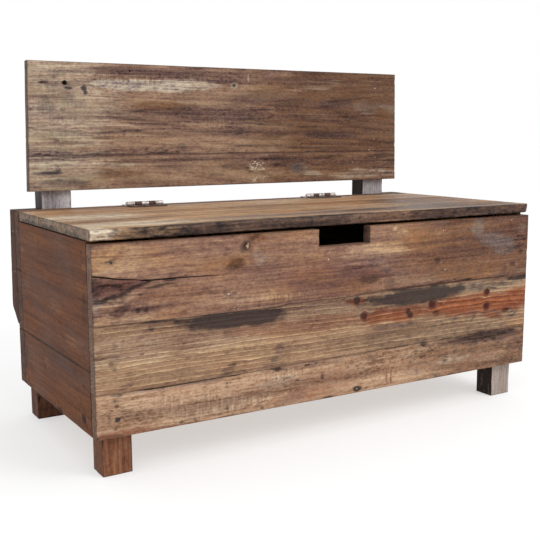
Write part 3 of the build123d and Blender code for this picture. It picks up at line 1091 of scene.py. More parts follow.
    def fields(self, surface: Surface, normals: Array, rim: Array) -> dict[str, Array]:
        """Work out the fields that colour the board.

        Args:
            surface: the skin with its marks.
            normals: outward directions at its points.
            rim: distance to the nearest edge.

        Returns:
            The attributes by name.
        """
        low, high = self.limits
        u, _, w = surface.points.T
        centre = (low + high) / 2
        heart_v = centre[1] + self.heart[0] + self.tilt[0] * (u - centre[0])
        heart_w = high[2] + self.heart[1] + self.tilt[1] * (u - centre[0])
        sway = SWAY.at(surface.points, self.seed) - 0.5
        ring = np.hypot(surface.across - heart_v, w - heart_w) + RING_SWAY * sway
        ragged = EDGES.at(surface.points, self.seed)
        edge = np.exp(-rim / (0.8 + 3.0 * ragged**2)) * smooth(0.2, 0.6, ragged + 0.1)
        offset = self.seed * GRAIN_OFFSET
        across = (surface.across + FIBRE_SWAY * sway) * MM + offset
        fields = {
            "grain": np.stack([u * MM + offset, across, w * MM], axis=1),
            "ring": np.where(surface.knot > KNOT_LIMIT, surface.knot_rings, ring) * MM,
            "stains": np.zeros((len(u), 4)),
            "traces": np.zeros((len(u), 4)),
            "wear": np.stack([edge, surface.knot, surface.pit, np.abs(normals[:, 0])], axis=1),
        }
        for tone, share in surface.tones.items():
            name, channel = tone.value
            fields[name][:, channel] = share
        return fields

    def build(self, seats: Sequence[Seat], material: bpy.types.Material) -> None:
        """Build the worn board and put it in its node's place.

        Args:
            seats: every fastener of the bench.
            material: the board's finish.
        """
        own = self.own_seats(seats)
        points, quads = self.lattice(own)
        points, rim = self.rounded(points)
        points = self.bent(points)
        mesh = bpy.data.meshes.new(self.node)
        mesh.from_pydata(points, [], quads)
        skin = bmesh.new()
        skin.from_mesh(mesh)
        bmesh.ops.recalc_face_normals(skin, faces=skin.faces)
        skin.to_mesh(mesh)
        skin.free()
        normals = np.zeros(len(points) * 3, np.float32)
        mesh.vertex_normals.foreach_get("vector", normals)
        normals = normals.reshape(-1, 3).astype(float)
        surface = self.marked(points, normals, own)
        placed = (points - normals * surface.depth[:, None]) @ self.axes() * MM
        mesh.vertices.foreach_set("co", placed.astype(np.float32).ravel())
        kinds = {"grain": ("FLOAT_VECTOR", "vector"), "ring": ("FLOAT", "value")}
        for name, values in self.fields(surface, normals, rim).items():
            kind, key = kinds.get(name, ("FLOAT_COLOR", "color"))
            attribute = mesh.attributes.new(name, kind, "POINT")
            attribute.data.foreach_set(key, values.astype(np.float32).ravel())
        mesh.polygons.foreach_set("use_smooth", [True] * len(mesh.polygons))
        mesh.materials.append(material)
        mesh.update()
        finished(f"worn_{self.node}", mesh, self.body, self.slot, self.node)


# Nails and screws


class Head(Enum):
    """The kinds of fastener."""

    NAIL = "nail"
    SCREW = "screw"


# Points closer than this are one, and points this near the end are in the head's top, in millimetres
SAME_POINT = 0.01
# The slot of a screw and the length of what cuts it, as shares of the head's radius
SLOT_WIDTH = 0.22
CUTTER_LENGTH = 3.0


def seats_of(node: str) -> list[Seat]:
    """Find each nail or screw of a group.

    Args:
        node: the group's node.

    Returns:
        One seat for each, in millimetres.
    """
    merged = bmesh.new()
    merged.from_mesh(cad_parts[node].data)
    bmesh.ops.remove_doubles(merged, verts=merged.verts, dist=SAME_POINT * MM)
    left = set(merged.verts)
    found = []
    while left:
        island, wave = set(), [left.pop()]
        while wave:
            vertex = wave.pop()
            island.add(vertex)
            for link in vertex.link_edges:
                other = link.other_vert(vertex)
                if other in left:
                    left.discard(other)
                    wave.append(other)
        places = np.array([vertex.co for vertex in island]) / MM
        middle = places.mean(axis=0)
        axis = np.linalg.svd(places - middle)[2][0]
        reach = (places - middle) @ axis
        out = np.linalg.norm(places - middle - np.outer(reach, axis), axis=1)
        if reach[np.argmax(out)] < 0:
            axis, reach = -axis, -reach
        top = reach.max()
        radius = out[reach > top - SAME_POINT].max()
        found.append(Seat(middle + axis * top, axis, float(radius), float(top - reach.min())))
    merged.free()
    return sorted(found, key=lambda seat: tuple(np.round(seat.place, 1)))


def nail_head(tree: Tree, given: bpy.types.Node, half: Socket) -> Socket:
    """Make a nail's head, a disc whose top falls off towards its rim.

    Args:
        tree: the fastener's nodes.
        given: the node of the tree's inputs.
        half: half the head's height, downwards.

    Returns:
        The head, around the origin.
    """
    radius, height = given.outputs["Head Radius"], given.outputs["Head Height"]
    disc = add(tree, "GeometryNodeMeshCylinder",
               {"Vertices": 14, "Side Segments": 1, "Fill Segments": 3, "Radius": radius, "Depth": height},
               fill_type="TRIANGLE_FAN")
    place = add(tree, "GeometryNodeInputPosition")
    parts = add(tree, "ShaderNodeSeparateXYZ", {0: place})
    flat = add(tree, "ShaderNodeCombineXYZ", {"X": parts.outputs[0], "Y": parts.outputs[1]})
    far = add(tree, "ShaderNodeVectorMath", {0: flat}, operation="LENGTH").outputs["Value"]
    share = add(tree, "ShaderNodeMath", {0: far, 1: radius}, operation="DIVIDE")
    square = add(tree, "ShaderNodeMath", {0: share, 1: 2.0}, operation="POWER")
    fall = add(tree, "ShaderNodeMath", {0: square, 1: half}, operation="MULTIPLY")
    drop = add(tree, "ShaderNodeCombineXYZ", {"Z": fall})
    top = add(tree, "ShaderNodeMath", {0: parts.outputs[2], 1: 0.0}, operation="GREATER_THAN")
    domed = add(tree, "GeometryNodeSetPosition", {
        "Geometry": disc.outputs["Mesh"], "Selection": top, "Offset": drop,
    })
    return domed.outputs[0]


def screw_head(tree: Tree, given: bpy.types.Node, lower: Socket) -> Socket:
    """Make a screw's head, a cone with a slot.

    Args:
        tree: the fastener's nodes.
        given: the node of the tree's inputs.
        lower: the way down by half the head's height.

    Returns:
        The head, around the origin.
    """
    radius, height = given.outputs["Head Radius"], given.outputs["Head Height"]
    cone = add(tree, "GeometryNodeMeshCone", {
        "Vertices": 20, "Side Segments": 1, "Fill Segments": 1, "Radius Top": radius,
        "Radius Bottom": given.outputs["Shank Radius"], "Depth": height,
    })
    width = add(tree, "ShaderNodeMath", {0: radius, 1: SLOT_WIDTH}, operation="MULTIPLY")
    long = add(tree, "ShaderNodeMath", {0: radius, 1: CUTTER_LENGTH}, operation="MULTIPLY")
    size = add(tree, "ShaderNodeCombineXYZ", {"X": long, "Y": width, "Z": height})
    cutter = add(tree, "GeometryNodeMeshCube", {"Size": size})
    lift = add(tree, "ShaderNodeCombineXYZ", {"Z": height})
    raised = add(tree, "GeometryNodeTransform", {"Geometry": cutter.outputs["Mesh"], "Translation": lift})
    cut = add(tree, "GeometryNodeMeshBoolean",
              {"Mesh 1": cone.outputs["Mesh"], "Mesh 2": raised}, operation="DIFFERENCE")
    centred = add(tree, "GeometryNodeTransform", {"Geometry": cut.outputs["Mesh"], "Translation": lower})
    return centred.outputs[0]


def fastener_tree(head: Head) -> Tree:
    """Build the Geometry Nodes that put a nail or a screw on each point, along its axis attribute.

    Args:
        head: the kind of fastener.

    Returns:
        The tree, with its sizes as named inputs.
    """
    tree = bpy.data.node_groups.new(f"{head.value}s on points", "GeometryNodeTree")
    sockets = {"Geometry": "Geometry", "Head Radius": "Float", "Head Height": "Float",
               "Shank Radius": "Float", "Length": "Float", "Lean": "Float", "Seed": "Int",
               "Material": "Material"}
    for name, kind in sockets.items():
        tree.interface.new_socket(name, in_out="INPUT", socket_type=f"NodeSocket{kind}")
    tree.interface.new_socket("Geometry", in_out="OUTPUT", socket_type="NodeSocketGeometry")
    given = add(tree, "NodeGroupInput")
    height, lean = given.outputs["Head Height"], given.outputs["Lean"]
    half = add(tree, "ShaderNodeMath", {0: height, 1: -0.5}, operation="MULTIPLY").outputs[0]
    lower = add(tree, "ShaderNodeCombineXYZ", {"Z": half}).outputs[0]
    centred = nail_head(tree, given, half) if head is Head.NAIL else screw_head(tree, given, lower)
    seated = add(tree, "GeometryNodeTransform", {"Geometry": centred, "Translation": lower})
    length = add(tree, "ShaderNodeMath", {0: given.outputs["Length"], 1: height}, operation="SUBTRACT")
    shank = add(tree, "GeometryNodeMeshCone", {
        "Vertices": 10, "Side Segments": 1, "Fill Segments": 1, "Radius Top": 0.0,
        "Radius Bottom": given.outputs["Shank Radius"], "Depth": length,
    })
    under = add(tree, "ShaderNodeMath", {0: height, 1: -1.0}, operation="MULTIPLY")
    below = add(tree, "ShaderNodeCombineXYZ", {"Z": under})
    turned = add(tree, "GeometryNodeTransform", {
        "Geometry": shank.outputs["Mesh"], "Translation": below, "Rotation": (math.pi, 0.0, 0.0),
    })
    whole = add(tree, "GeometryNodeJoinGeometry", {0: [seated, turned]})
    axis = add(tree, "GeometryNodeInputNamedAttribute", {"Name": "axis"}, data_type="FLOAT_VECTOR")
    aligned = add(tree, "FunctionNodeAlignRotationToVector", {"Vector": axis}, axis="Z")
    less = add(tree, "ShaderNodeMath", {0: lean, 1: -1.0}, operation="MULTIPLY")
    least = add(tree, "ShaderNodeCombineXYZ", {"X": less, "Y": less})
    most = add(tree, "ShaderNodeCombineXYZ", {"X": lean, "Y": lean, "Z": math.pi})
    chance = add(tree, "FunctionNodeRandomValue",
                 {0: least, 1: most, "Seed": given.outputs["Seed"]},
                 data_type="FLOAT_VECTOR")
    spin = add(tree, "FunctionNodeEulerToRotation", {0: chance})
    rotation = add(tree, "FunctionNodeRotateRotation", {0: aligned, 1: spin},
                   rotation_space="LOCAL")
    placed = add(tree, "GeometryNodeInstanceOnPoints", {
        "Points": given.outputs["Geometry"], "Instance": whole, "Rotation": rotation,
    })
    real = add(tree, "GeometryNodeRealizeInstances", {0: placed})
    dressed = add(tree, "GeometryNodeSetMaterial",
                  {"Geometry": real, "Material": given.outputs["Material"]})
    add(tree, "NodeGroupOutput", {0: dressed})
    return tree


@dataclass(frozen=True)
class Batch:
    """A group of fasteners that the frame holds: the kind, the steel and the body."""

    head: Head
    steel: Steel
    body: str = "base"


@dataclass
class Fasteners:
    """The nails and screws of the bench, each group a piece of its own; sizes in millimetres."""

    batches: dict[str, Batch]
    nail_height: float = 1.3
    shank_share: float = 0.45
    nail_lean: float = 3.0
    worn_share: float = 0.75
    seats: dict[str, list[Seat]] = field(default_factory=dict)
    trees: dict[Head, Tree] = field(default_factory=dict)
    materials: dict[Steel, bpy.types.Material] = field(default_factory=dict)

    def find(self) -> list[Seat]:
        """Read where every fastener sits and give them all."""
        self.seats = {node: seats_of(node) for node in self.batches}
        return [seat for seats in self.seats.values() for seat in seats]

    def drive(self, name: str, batch: Batch, seats: Sequence[Seat], seed: int) -> bpy.types.Mesh:
        """Make one group of fasteners as a plain mesh.

        Args:
            name: the mesh's name.
            batch: their kind and steel.
            seats: where they sit.
            seed: picks how each leans.

        Returns:
            The mesh, in place.
        """
        points = bpy.data.meshes.new(f"{name}_points")
        points.from_pydata([tuple(seat.place * MM) for seat in seats], [], [])
        axis = points.attributes.new("axis", "FLOAT_VECTOR", "POINT")
        axis.data.foreach_set("vector", np.array([seat.axis for seat in seats], np.float32).ravel())
        carrier = bpy.data.objects.new(f"{name}_points", points)
        bpy.context.scene.collection.objects.link(carrier)
        if batch.head not in self.trees:
            self.trees[batch.head] = fastener_tree(batch.head)
        if batch.steel not in self.materials:
            self.materials[batch.steel] = batch.steel.material()
        tree = self.trees[batch.head]
        modifier = carrier.modifiers.new("fasteners", "NODES")
        modifier.node_group = tree
        nail = batch.head is Head.NAIL
        radius = seats[0].head_radius * (self.worn_share if nail else 1.0)
        shank = self.shank_share * radius
        values = {
            "Head Radius": radius * MM,
            "Head Height": (self.nail_height if nail else radius - shank) * MM,
            "Shank Radius": shank * MM,
            "Length": seats[0].length * MM,
            "Lean": math.radians(self.nail_lean) if nail else 0.0,
            "Seed": seed,
            "Material": self.materials[batch.steel],
        }
        for item in tree.interface.items_tree:
            if item.name in values:
                modifier[item.identifier] = values[item.name]
        graph = bpy.context.evaluated_depsgraph_get()
        mesh = bpy.data.meshes.new_from_object(carrier.evaluated_get(graph))
        mesh.name = name
        bpy.data.objects.remove(carrier)
        return mesh

    def build(self) -> None:
        """Make every group and put it in its node's place."""
        for seed, (node, batch) in enumerate(self.batches.items()):
            mesh = self.drive(f"struck_{node}", batch, self.seats[node], seed)
            finished(f"struck_{node}", mesh, batch.body, "fasteners", node)

    def strike(self, name: str, batch: Batch, seats: Sequence[Seat]) -> None:
        """Add nails that the frame does not hold.

        Args:
            name: the piece's name.
            batch: their kind, steel and body.
            seats: where they sit.
        """
        mesh = self.drive(name, batch, seats, len(self.batches))
        finished(name, mesh, batch.body, "fasteners")


# Sub-assemblies; marks are read off the photo, places along and across each board


# How far the backrest leans back, in degrees
RAKE = 1.5
ENDS = ("left", "right")


@dataclass
class FrontPanel:
    """The three front boards, the top one with the hand notch; X along and Z across."""

    notch: Triple = (-46.0, 56.0, 28.5)
    spacing: float = 3.0
    # Where the crooked seams run: X, and the height over the straight seam
    upper_seam: Places = (
        (-430, -2.5), (-300, -3), (-200, -4), (-130, -4), (-105, -1.5),
        (0, -2), (60, 0), (140, 1), (300, 2), (430, 0),
    )
    lower_seam: Places = (
        (-430, -1), (-300, -2.4), (-200, -2.2), (-100, -0.8), (0, -0.3),
        (140, 0.7), (240, 1.5), (340, 4), (400, 4.4), (430, 2),
    )

    # The top board's marks: a bark wedge and its crack on the left, worn grey on the right
    top_marks: Marks = (
        pale((-392, 322), (60, 30), 0.5), pale((-392, 240), (60, 9), 0.6),
        pale((-404, 263), (18, 8), 0.6), pale((-190, 248), (90, 7), 0.6), pale((70, 301), (75, 18), 0.75),
        pale((160, 245), (60, 7), 0.4), pale((414, 325), (12, 11), 0.6), pale((412, 243), (18, 6), 0.5),
        plum((-412, 285), (30, 19), 1.0, depth=1.2), plum((-385, 287), (40, 10), 1.0, depth=1.0),
        dark((-392, 286), (66, 6), 0.3, slope=0.03, depth=0.8),
        dark((-408, 277), (26, 9), 0.3, ragged=0.7), dark((-425, 288), (14, 20), 0.6, depth=0.6),
        dark((-400, 268), (14, 6), 0.5, slope=0.2, ragged=0.8), chew((-404, 280), (44, 22), 1.0),
        dark((-421, 265), (12, 3.5), 0.9, ragged=0.7, depth=0.6),
        dark((-404, 270), (16, 3.5), 0.9, slope=0.2, ragged=0.7, depth=0.6),
        dark((-378, 277), (15, 3.5), 0.9, slope=0.45, ragged=0.6, depth=0.6),
        dark((-356, 285), (16, 3), 0.9, slope=0.25, depth=0.6),
        pale((-375, 268), (22, 6), slope=0.35, ragged=0.7), warm((-410, 289), (12, 4), 0.9),
        warm((-382, 289), (20, 5), 1.0), Crack((-432, 303), (-335, 288.5), 2.0, 1.6),
        Crack((-350, 290.5), (-222, 288.5), 1.8, 1.6), dark((-312, 289), (14, 3), 0.9),
        dark((-325, 282), (34, 2.4), 0.8, slope=0.08), chew((-345, 296), (14, 4), 0.8),
        chew((-409, 321), (14, 4), 0.9), plum((-388, 330), (16, 6), slope=0.3),
        chew((-388, 331), (16, 7), 0.8), chew((-419, 312), (12, 4), 0.9),
        Knot((-382, 340), 4.5, 1.6, 0.4), grey((-424, 262), (9, 16)),
        chew((-391, 250), (24, 12), 1.0, slope=0.35),
        dark((-386, 252), (14, 6), 0.4, slope=0.5, ragged=0.9),
        dark((-399, 246), (9, 4), 0.45, ragged=0.9), plum((-388, 250), (20, 9), slope=0.35),
        dark((-385, 266), (10, 6), 0.5), dark((-361, 248), (5, 5), 1.0), dark((-349, 247), (5, 4), 0.9),
        dark((-340, 247), (12, 2)), Knot((-288, 238), 4.5, 1.3, 0.6), pale((-193, 250), (38, 11), 0.5),
        Knot((-181, 330), 9, 0.85), dark((-181, 330), (13, 15), 0.55, ragged=0.6),
        speck((-179, 332), (4, 7), 1.7), grey((-160, 314), (15, 15), 0.75),
        plum((-168, 308), (10, 9), 0.5), dark((-199, 305), (21, 11), slope=0.2),
        warm((-199, 305), (20, 11), 0.6), dark((-168, 342), (14, 6), 0.6, slope=0.5),
        warm((-164, 343), (20, 9)), speck((-170, 236), (70, 5), 0.9), saw((-110, 242), (60, 9), 0.8),
        plum((-15, 263), (120, 32), 0.9), dark((-10, 260), (100, 26), 0.3),
        plum((-150, 285), (120, 12), 0.35), warm((-300, 270), (80, 14), 0.35),
        dark((58, 257), (28, 11), 0.65), warm((60, 268), (26, 6), 0.6, slope=-0.1),
        grey((92, 271), (16, 6), 0.8), dark((92, 269), (15, 5), 0.6), dark((100, 248), (17, 17), 0.45),
        grey((70, 288), (24, 9), 0.5), chew((121, 285), (6, 17), 0.8), pale((126, 334), (16, 2.2), 0.9),
        pale((110, 340), (5, 4), 0.9), chew((158, 296), (12, 12)), dark((206, 278), (8, 8), 0.75),
        dark((200, 262), (8, 10), 0.4), warm((246, 318), (10, 26), 0.6), dark((244, 318), (9, 28), 0.5),
        warm((262, 346), (40, 5), 0.8), warm((215, 302), (60, 3), 0.6), plum((170, 275), (90, 12), 0.45),
        grey((302, 330), (18, 20), 0.95), grey((348, 304), (52, 17), 1.1, slope=-0.15),
        grey((368, 284), (30, 10)), warm((385, 332), (50, 10), 0.6), dark((395, 331), (40, 8), 0.5),
        chew((410, 304), (20, 14), 1.0), dark((395, 286), (34, 5), slope=0.25),
        dark((412, 280), (8, 6), 0.8), plum((370, 254), (12, 14), 0.8), dark((393, 258), (10, 6), 0.8),
        dark((414, 248), (10, 3)), plum((330, 262), (80, 22), 0.4), chew((245, 239), (90, 4), 0.95),
        dark((250, 236), (190, 2.5)), dark((350, 290), (280, 110), 0.42, ragged=0.25),
        warm((330, 290), (240, 80), 0.5, ragged=0.4), pale((335, -195), (18, 14), 0.9, side=Side.START),
        speck((335, -195), (18, 14), 1.0, side=Side.START),
    )

    # The middle board's marks: black tar along its upper edge over an orange heart with red knots
    middle_marks: Marks = (
        pale((-370, 190), (85, 26), 0.4), pale((-250, 185), (120, 12), 0.3),
        dark((-205, 219), (116, 16), 1.05, ragged=0.25), dark((-158, 217), (50, 16), 1.05, ragged=0.25),
        dark((-330, 229), (50, 3), 0.9), chew((-342, 219), (18, 8), 1.0, slope=0.5),
        plum((-345, 218), (20, 8), 0.6, slope=0.5), dark((-357, 184), (5, 1.6), 0.8),
        pale((-333, 201), (4, 2), 0.9), dark((-403, 178), (15, 12), 0.3), Knot((-405, 175), 4, 1.2, 0.7),
        chew((-380, 139), (16, 6), 1.0, slope=0.3), warm((-390, 136), (40, 5), 0.25),
        plum((-380, 139), (14, 5), 0.8, slope=0.3), dark((-215, 137), (17, 8), 0.55, ragged=0.9),
        dark((-190, 134), (18, 5), 0.6, ragged=0.9), dark((-208, 147), (9, 4)),
        plum((-206, 196), (20, 10), 0.5), plum((-121, 160), (11, 11), 0.9),
        pale((-120, 158), (4, 4), 1.0), dark((-131, 146), (9, 5), 0.5), warm((-50, 191), (130, 16), 0.5),
        warm((-150, 196), (70, 11), 0.35), warm((120, 191), (110, 16), 0.9),
        warm((290, 190), (160, 24), 1.0, slope=-0.02), warm((405, 190), (70, 26), 1.0),
        warm((26, 222), (26, 6), 1.0), warm((345, 166), (34, 8), 0.8, slope=-0.3),
        grey((-40, 218), (80, 9), 0.55), grey((0, 210), (50, 4)), grey((33, 199), (6, 5), 0.8),
        Knot((46, 196), 8, 1.0), Knot((197, 200), 9, 1.2), Knot((328, 210), 8, 1.0),
        Knot((329, 184), 8, 1.1), pale((324, 221), (4, 7), 0.9), dark((141, 194), (6, 5), 1.0),
        dark((147, 186), (6, 5), 1.0), dark((143, 190), (8, 8), 0.6), dark((206, 184), (10, 6), 0.6),
        dark((31, 224), (7, 10), 1.0), dark((160, 220), (130, 17), 1.05, slope=0.01, ragged=0.25),
        dark((245, 222), (45, 10), 0.95, slope=0.1), dark((405, 229), (38, 5), 0.95),
        grey((320, 222), (100, 11), 0.9), dark((320, 222), (100, 11), 0.5, ragged=0.3),
        plum((330, 224), (60, 10), 0.5), plum((100, 171), (60, 5), 0.8), plum((300, 172), (80, 5), 0.6),
        chew((398, 163), (16, 10), 1.0), grey((396, 163), (18, 10), 0.8), dark((378, 171), (10, 5), 0.8),
        speck((392, 165), (14, 8), 0.8), dark((230, 152), (260, 34), 0.45, ragged=0.3),
        dark((395, 162), (26, 14), 0.5),
    )

    # The bottom board's marks: rough saw cuts on the left, dirt under the seam on the right
    bottom_marks: Marks = (
        pale((-260, 84), (130, 14), 0.4), pale((-330, 104), (90, 12), 0.4),
        pale((255, 92), (46, 11), 0.65), pale((60, 110), (70, 10), 0.3), pale((330, 84), (60, 7), 0.45),
        saw((-225, 84), (105, 20), 1.0), saw((-290, 104), (70, 14)), saw((-110, 118), (70, 12), 0.8),
        dark((-290, 130), (100, 2.6), 1.0), plum((-290, 128), (100, 5)),
        dark((-395, 127), (14, 6), 0.45, ragged=0.8), chew((-385, 117), (45, 12), 0.75),
        chew((-313, 110), (10, 5), 0.95), chew((-212, 112), (18, 8), 1.0),
        chew((-280, 115), (120, 14), 0.55), dark((-397, 91), (5, 4.5), 1.0, ragged=0.2),
        chew((-409, 92), (6, 8), 1.0), warm((-400, 69), (60, 7), 0.9), dark((-415, 68), (30, 4), 0.5),
        chew((-282, 69), (24, 5), 1.0), chew((-320, 78), (60, 12), 0.6), warm((-330, 66), (60, 3), 0.8),
        chew((-150, 73), (18, 9), 0.95), plum((-100, 76), (40, 9), 0.5), warm((-60, 80), (60, 10), 0.5),
        grey((-125, 106), (46, 10)), chew((-110, 106), (50, 12), 0.8), chew((-90, 127), (90, 6), 1.0),
        plum((-80, 127), (90, 6)), dark((-38, 102), (5, 6)), plum((62, 120), (16, 6), 0.6),
        dark((34, 71), (12, 6), 1.0, ragged=0.15), pale((31, 71), (3, 2.5), 0.9),
        dark((-25, 66), (13, 3), 0.8), warm((96, 83), (2, 18), 0.9, ragged=0.3),
        warm((106, 83), (2, 18), 0.9, ragged=0.3), dark((97, 80), (1.8, 18), 0.4),
        dark((106, 82), (1.8, 18), 0.4), chew((180, 116), (44, 15), 0.95),
        warm((200, 108), (50, 12), 0.5), speck((195, 112), (40, 12)), dark((181, 130), (11, 4), 0.6),
        chew((226, 100), (22, 12), 0.85), dark((338, 128), (105, 9), 0.75, ragged=0.25),
        plum((325, 125), (110, 13), 1.3, ragged=0.3), dark((298, 118), (18, 10), 0.45, ragged=0.8),
        chew((335, 118), (60, 9), 0.95), dark((418, 108), (20, 15), 0.6), plum((408, 100), (30, 20), 0.6),
        warm((395, 84), (40, 14), 0.5), dark((312, 72), (8, 5)), warm((120, 98), (100, 14), 0.35),
        dark((340, 100), (240, 70), 0.45, ragged=0.25), warm((330, 95), (200, 50), 0.35, ragged=0.4),
    )

    def boards(self) -> list[Board]:
        """Give the three boards."""
        common = dict(along=Way.RIGHT, facing=Way.FRONT, slot="front_boards", spacing=self.spacing,
                      edge=0.7, bite=1.0)
        return [
            Board("front_board_top", timber=TOP_FRONT, seed=3, marks=self.top_marks, notch=self.notch,
                  heart=(20, -30), seams=(Side.LOW,), bends={Side.LOW: self.upper_seam}, **common),
            Board("front_board_middle", timber=MIDDLE_FRONT, seed=5, marks=self.middle_marks,
                  heart=(78, -42), tilt=(-0.004, 0.005), seams=(Side.LOW, Side.HIGH),
                  bends={Side.LOW: self.lower_seam, Side.HIGH: self.upper_seam}, **common),
            Board("front_board_bottom", timber=BOTTOM_FRONT, seed=8, marks=self.bottom_marks, waviness=0.8,
                  seams=(Side.HIGH,), bends={Side.HIGH: self.lower_seam}, **common),
        ]


@dataclass
class SidePanels:
    """The two side boards on each side; on the left u runs to the front and Z across."""

    spacing: float = 4.0

    # The left upper board's marks
    upper_marks: Marks = (
        grey((40, 235), (26, 16), 0.6), grey((-105, 265), (24, 22), 0.5, slope=0.6),
        grey((-60, 300), (50, 14), 0.25), pale((130, 196), (50, 4), 0.75), pale((115, 188), (36, 3)),
        warm((140, 180), (44, 14), 0.5), pale((-128, 305), (16, 5), 0.8), warm((160, 300), (24, 30), 0.5),
        pale((178, 312), (10, 7)), warm((-20, 285), (120, 8), 0.45), plum((0, 262), (150, 8), 0.6),
        dark((175, 250), (14, 40), 0.4), dark((0, 162), (200, 1.6), 0.5), chew((150, 320), (40, 12), 0.5),
    )

    # The left lower board's marks
    lower_marks: Marks = (
        pale((-80, 116), (56, 14), 0.45), pale((-14, 133), (18, 9), 0.5), Knot((-22, 123), 4, 1.5, 0.7),
        warm((40, 105), (170, 50), 0.45, ragged=0.3), warm((-60, 76), (130, 14), 0.5),
        grey((120, 96), (30, 14), 0.4), dark((158, 84), (11, 7), 0.9), pale((168, 87), (6, 3), 0.9),
        dark((44, 68), (16, 4), 0.8), chew((150, 120), (30, 30)), dark((0, 160), (200, 1.6), 0.5),
        dark((-140, 120), (20, 50), 0.5), pale((-84, 69), (14, 3), 0.8),
    )

    def boards(self) -> list[Board]:
        """Give the four boards; the right side is not seen, so chance marks it."""
        found = []
        for level, marks, seam, seed in (("upper", self.upper_marks, Side.LOW, 11),
                                         ("lower", self.lower_marks, Side.HIGH, 12)):
            common = dict(timber=SIDE, slot="side_boards", spacing=self.spacing, waviness=0.3,
                          seams=(seam,))
            found += [
                Board(f"left_side_board_{level}", Way.FRONT, Way.LEFT, seed=seed, marks=marks, **common),
                Board(f"right_side_board_{level}", Way.REAR, Way.RIGHT, seed=seed + 4, chance_marks=10,
                      **common),
            ]
        return found


@dataclass
class BackPanel:
    """The three thick back boards that carry the hinges and the posts."""

    spacing: float = 5.0

    def boards(self) -> list[Board]:
        """Give the boards, as seen from behind."""
        return [
            Board(f"back_board_{level}", Way.LEFT, Way.REAR, REAR, "back_boards", 21 + number,
                  spacing=self.spacing, chance_marks=16, waviness=0.7,
                  seams=(Side.LOW, Side.HIGH) if level == "middle" else ())
            for number, level in enumerate(("bottom", "middle", "top"))
        ]


@dataclass
class Lid:
    """The three boards of the seat and the battens under them; X along and Y across."""

    spacing: float = 3.5

    # Ochre on the left, grey on the right and along the front
    front_marks: Marks = (
        dark((60, 360), (430, 40), 0.35, ragged=0.2, side=Side.LOW),
        dark((290, 360), (190, 40), ragged=0.3, side=Side.LOW),
        dark((-290, 360), (125, 40), 0.72, ragged=0.2, side=Side.LOW),
        dark((-90, 360), (150, 40), 0.62, ragged=0.3, side=Side.LOW),
        plum((40, 360), (450, 40), 1.3, ragged=0.3, side=Side.LOW),
        warm((300, 360), (200, 12), 0.8, side=Side.LOW),
        pale((-415, 361), (34, 14), 0.9, ragged=0.3, side=Side.LOW),
        speck((-330, 360), (100, 12), 0.4, side=Side.LOW), chew((0, 360), (500, 12), side=Side.LOW),
        pale((-420, -190), (20, 16), 0.9), grey((0, -150), (330, 36), 0.9),
        pale((-330, -150), (120, 40), 0.85), dark((-130, 354), (60, 6), 0.6, side=Side.START),
        chew((-150, 360), (70, 12), 0.9, side=Side.START), grey((330, -150), (170, 80), 1.0),
        dark((-110, -201), (270, 15), 0.8), dark((260, -204), (180, 7), 0.6),
        dark((260, -150), (220, 80), 0.33, ragged=0.3), plum((330, -140), (150, 60), 0.75),
        warm((-10, -102), (110, 16), 0.8), dark((20, -104), (60, 10), 0.4),
        dark((-200, -200), (140, 6), 0.4),
    )
    middle_marks: Marks = (
        pale((-360, -20), (100, 60), 0.85), dark((-20, 354), (60, 6), side=Side.START),
        chew((-20, 360), (70, 12), 0.9, side=Side.START), grey((150, -84), (95, 26), 1.0),
        plum((320, -20), (140, 90), 0.9), dark((300, -20), (180, 90), 0.18, ragged=0.3),
        warm((150, 0), (110, 50), 0.8), grey((-300, -65), (120, 12), 0.5), dark((30, -70), (60, 7), 0.4),
    )
    rear_marks: Marks = (
        warm((-300, 80), (160, 50)), dark((80, 354), (60, 6), side=Side.START),
        chew((80, 360), (70, 12), 0.9, side=Side.START), warm((200, 60), (120, 40), 0.6),
        pale((30, 100), (90, 20), 0.5), dark((-260, 110), (120, 6), 0.5), plum((340, 70), (100, 60), 0.6),
    )

    def boards(self) -> list[Board]:
        """Give boards and battens."""
        seams = {"front": (Side.HIGH,), "middle": (Side.LOW, Side.HIGH), "rear": (Side.LOW,)}
        marks_of = {"front": self.front_marks, "middle": self.middle_marks, "rear": self.rear_marks}
        boards = [
            Board(f"lid_board_{name}", Way.RIGHT, Way.UP, LID, "lid_boards", 31 + number, marks, "lid",
                  spacing=self.spacing, edge=2.0, bite=2.2, heart=(30 - 40 * number, -30),
                  seams=seams[name])
            for number, (name, marks) in enumerate(marks_of.items())
        ]
        boards += [
            Board(f"lid_batten_{end}", Way.REAR, Way.DOWN, INNER, "inner_timber", 38 + number, body="lid",
                  spacing=6.0, chance_marks=4)
            for number, end in enumerate(ENDS)
        ]
        return boards


def bare_rest() -> Board:
    """Give the lower backrest board without its looks, for its axes and limits."""
    return Board("backrest_board_lower", Way.RIGHT, Way.FRONT, REST, "backrest_boards", 0, lean=RAKE)


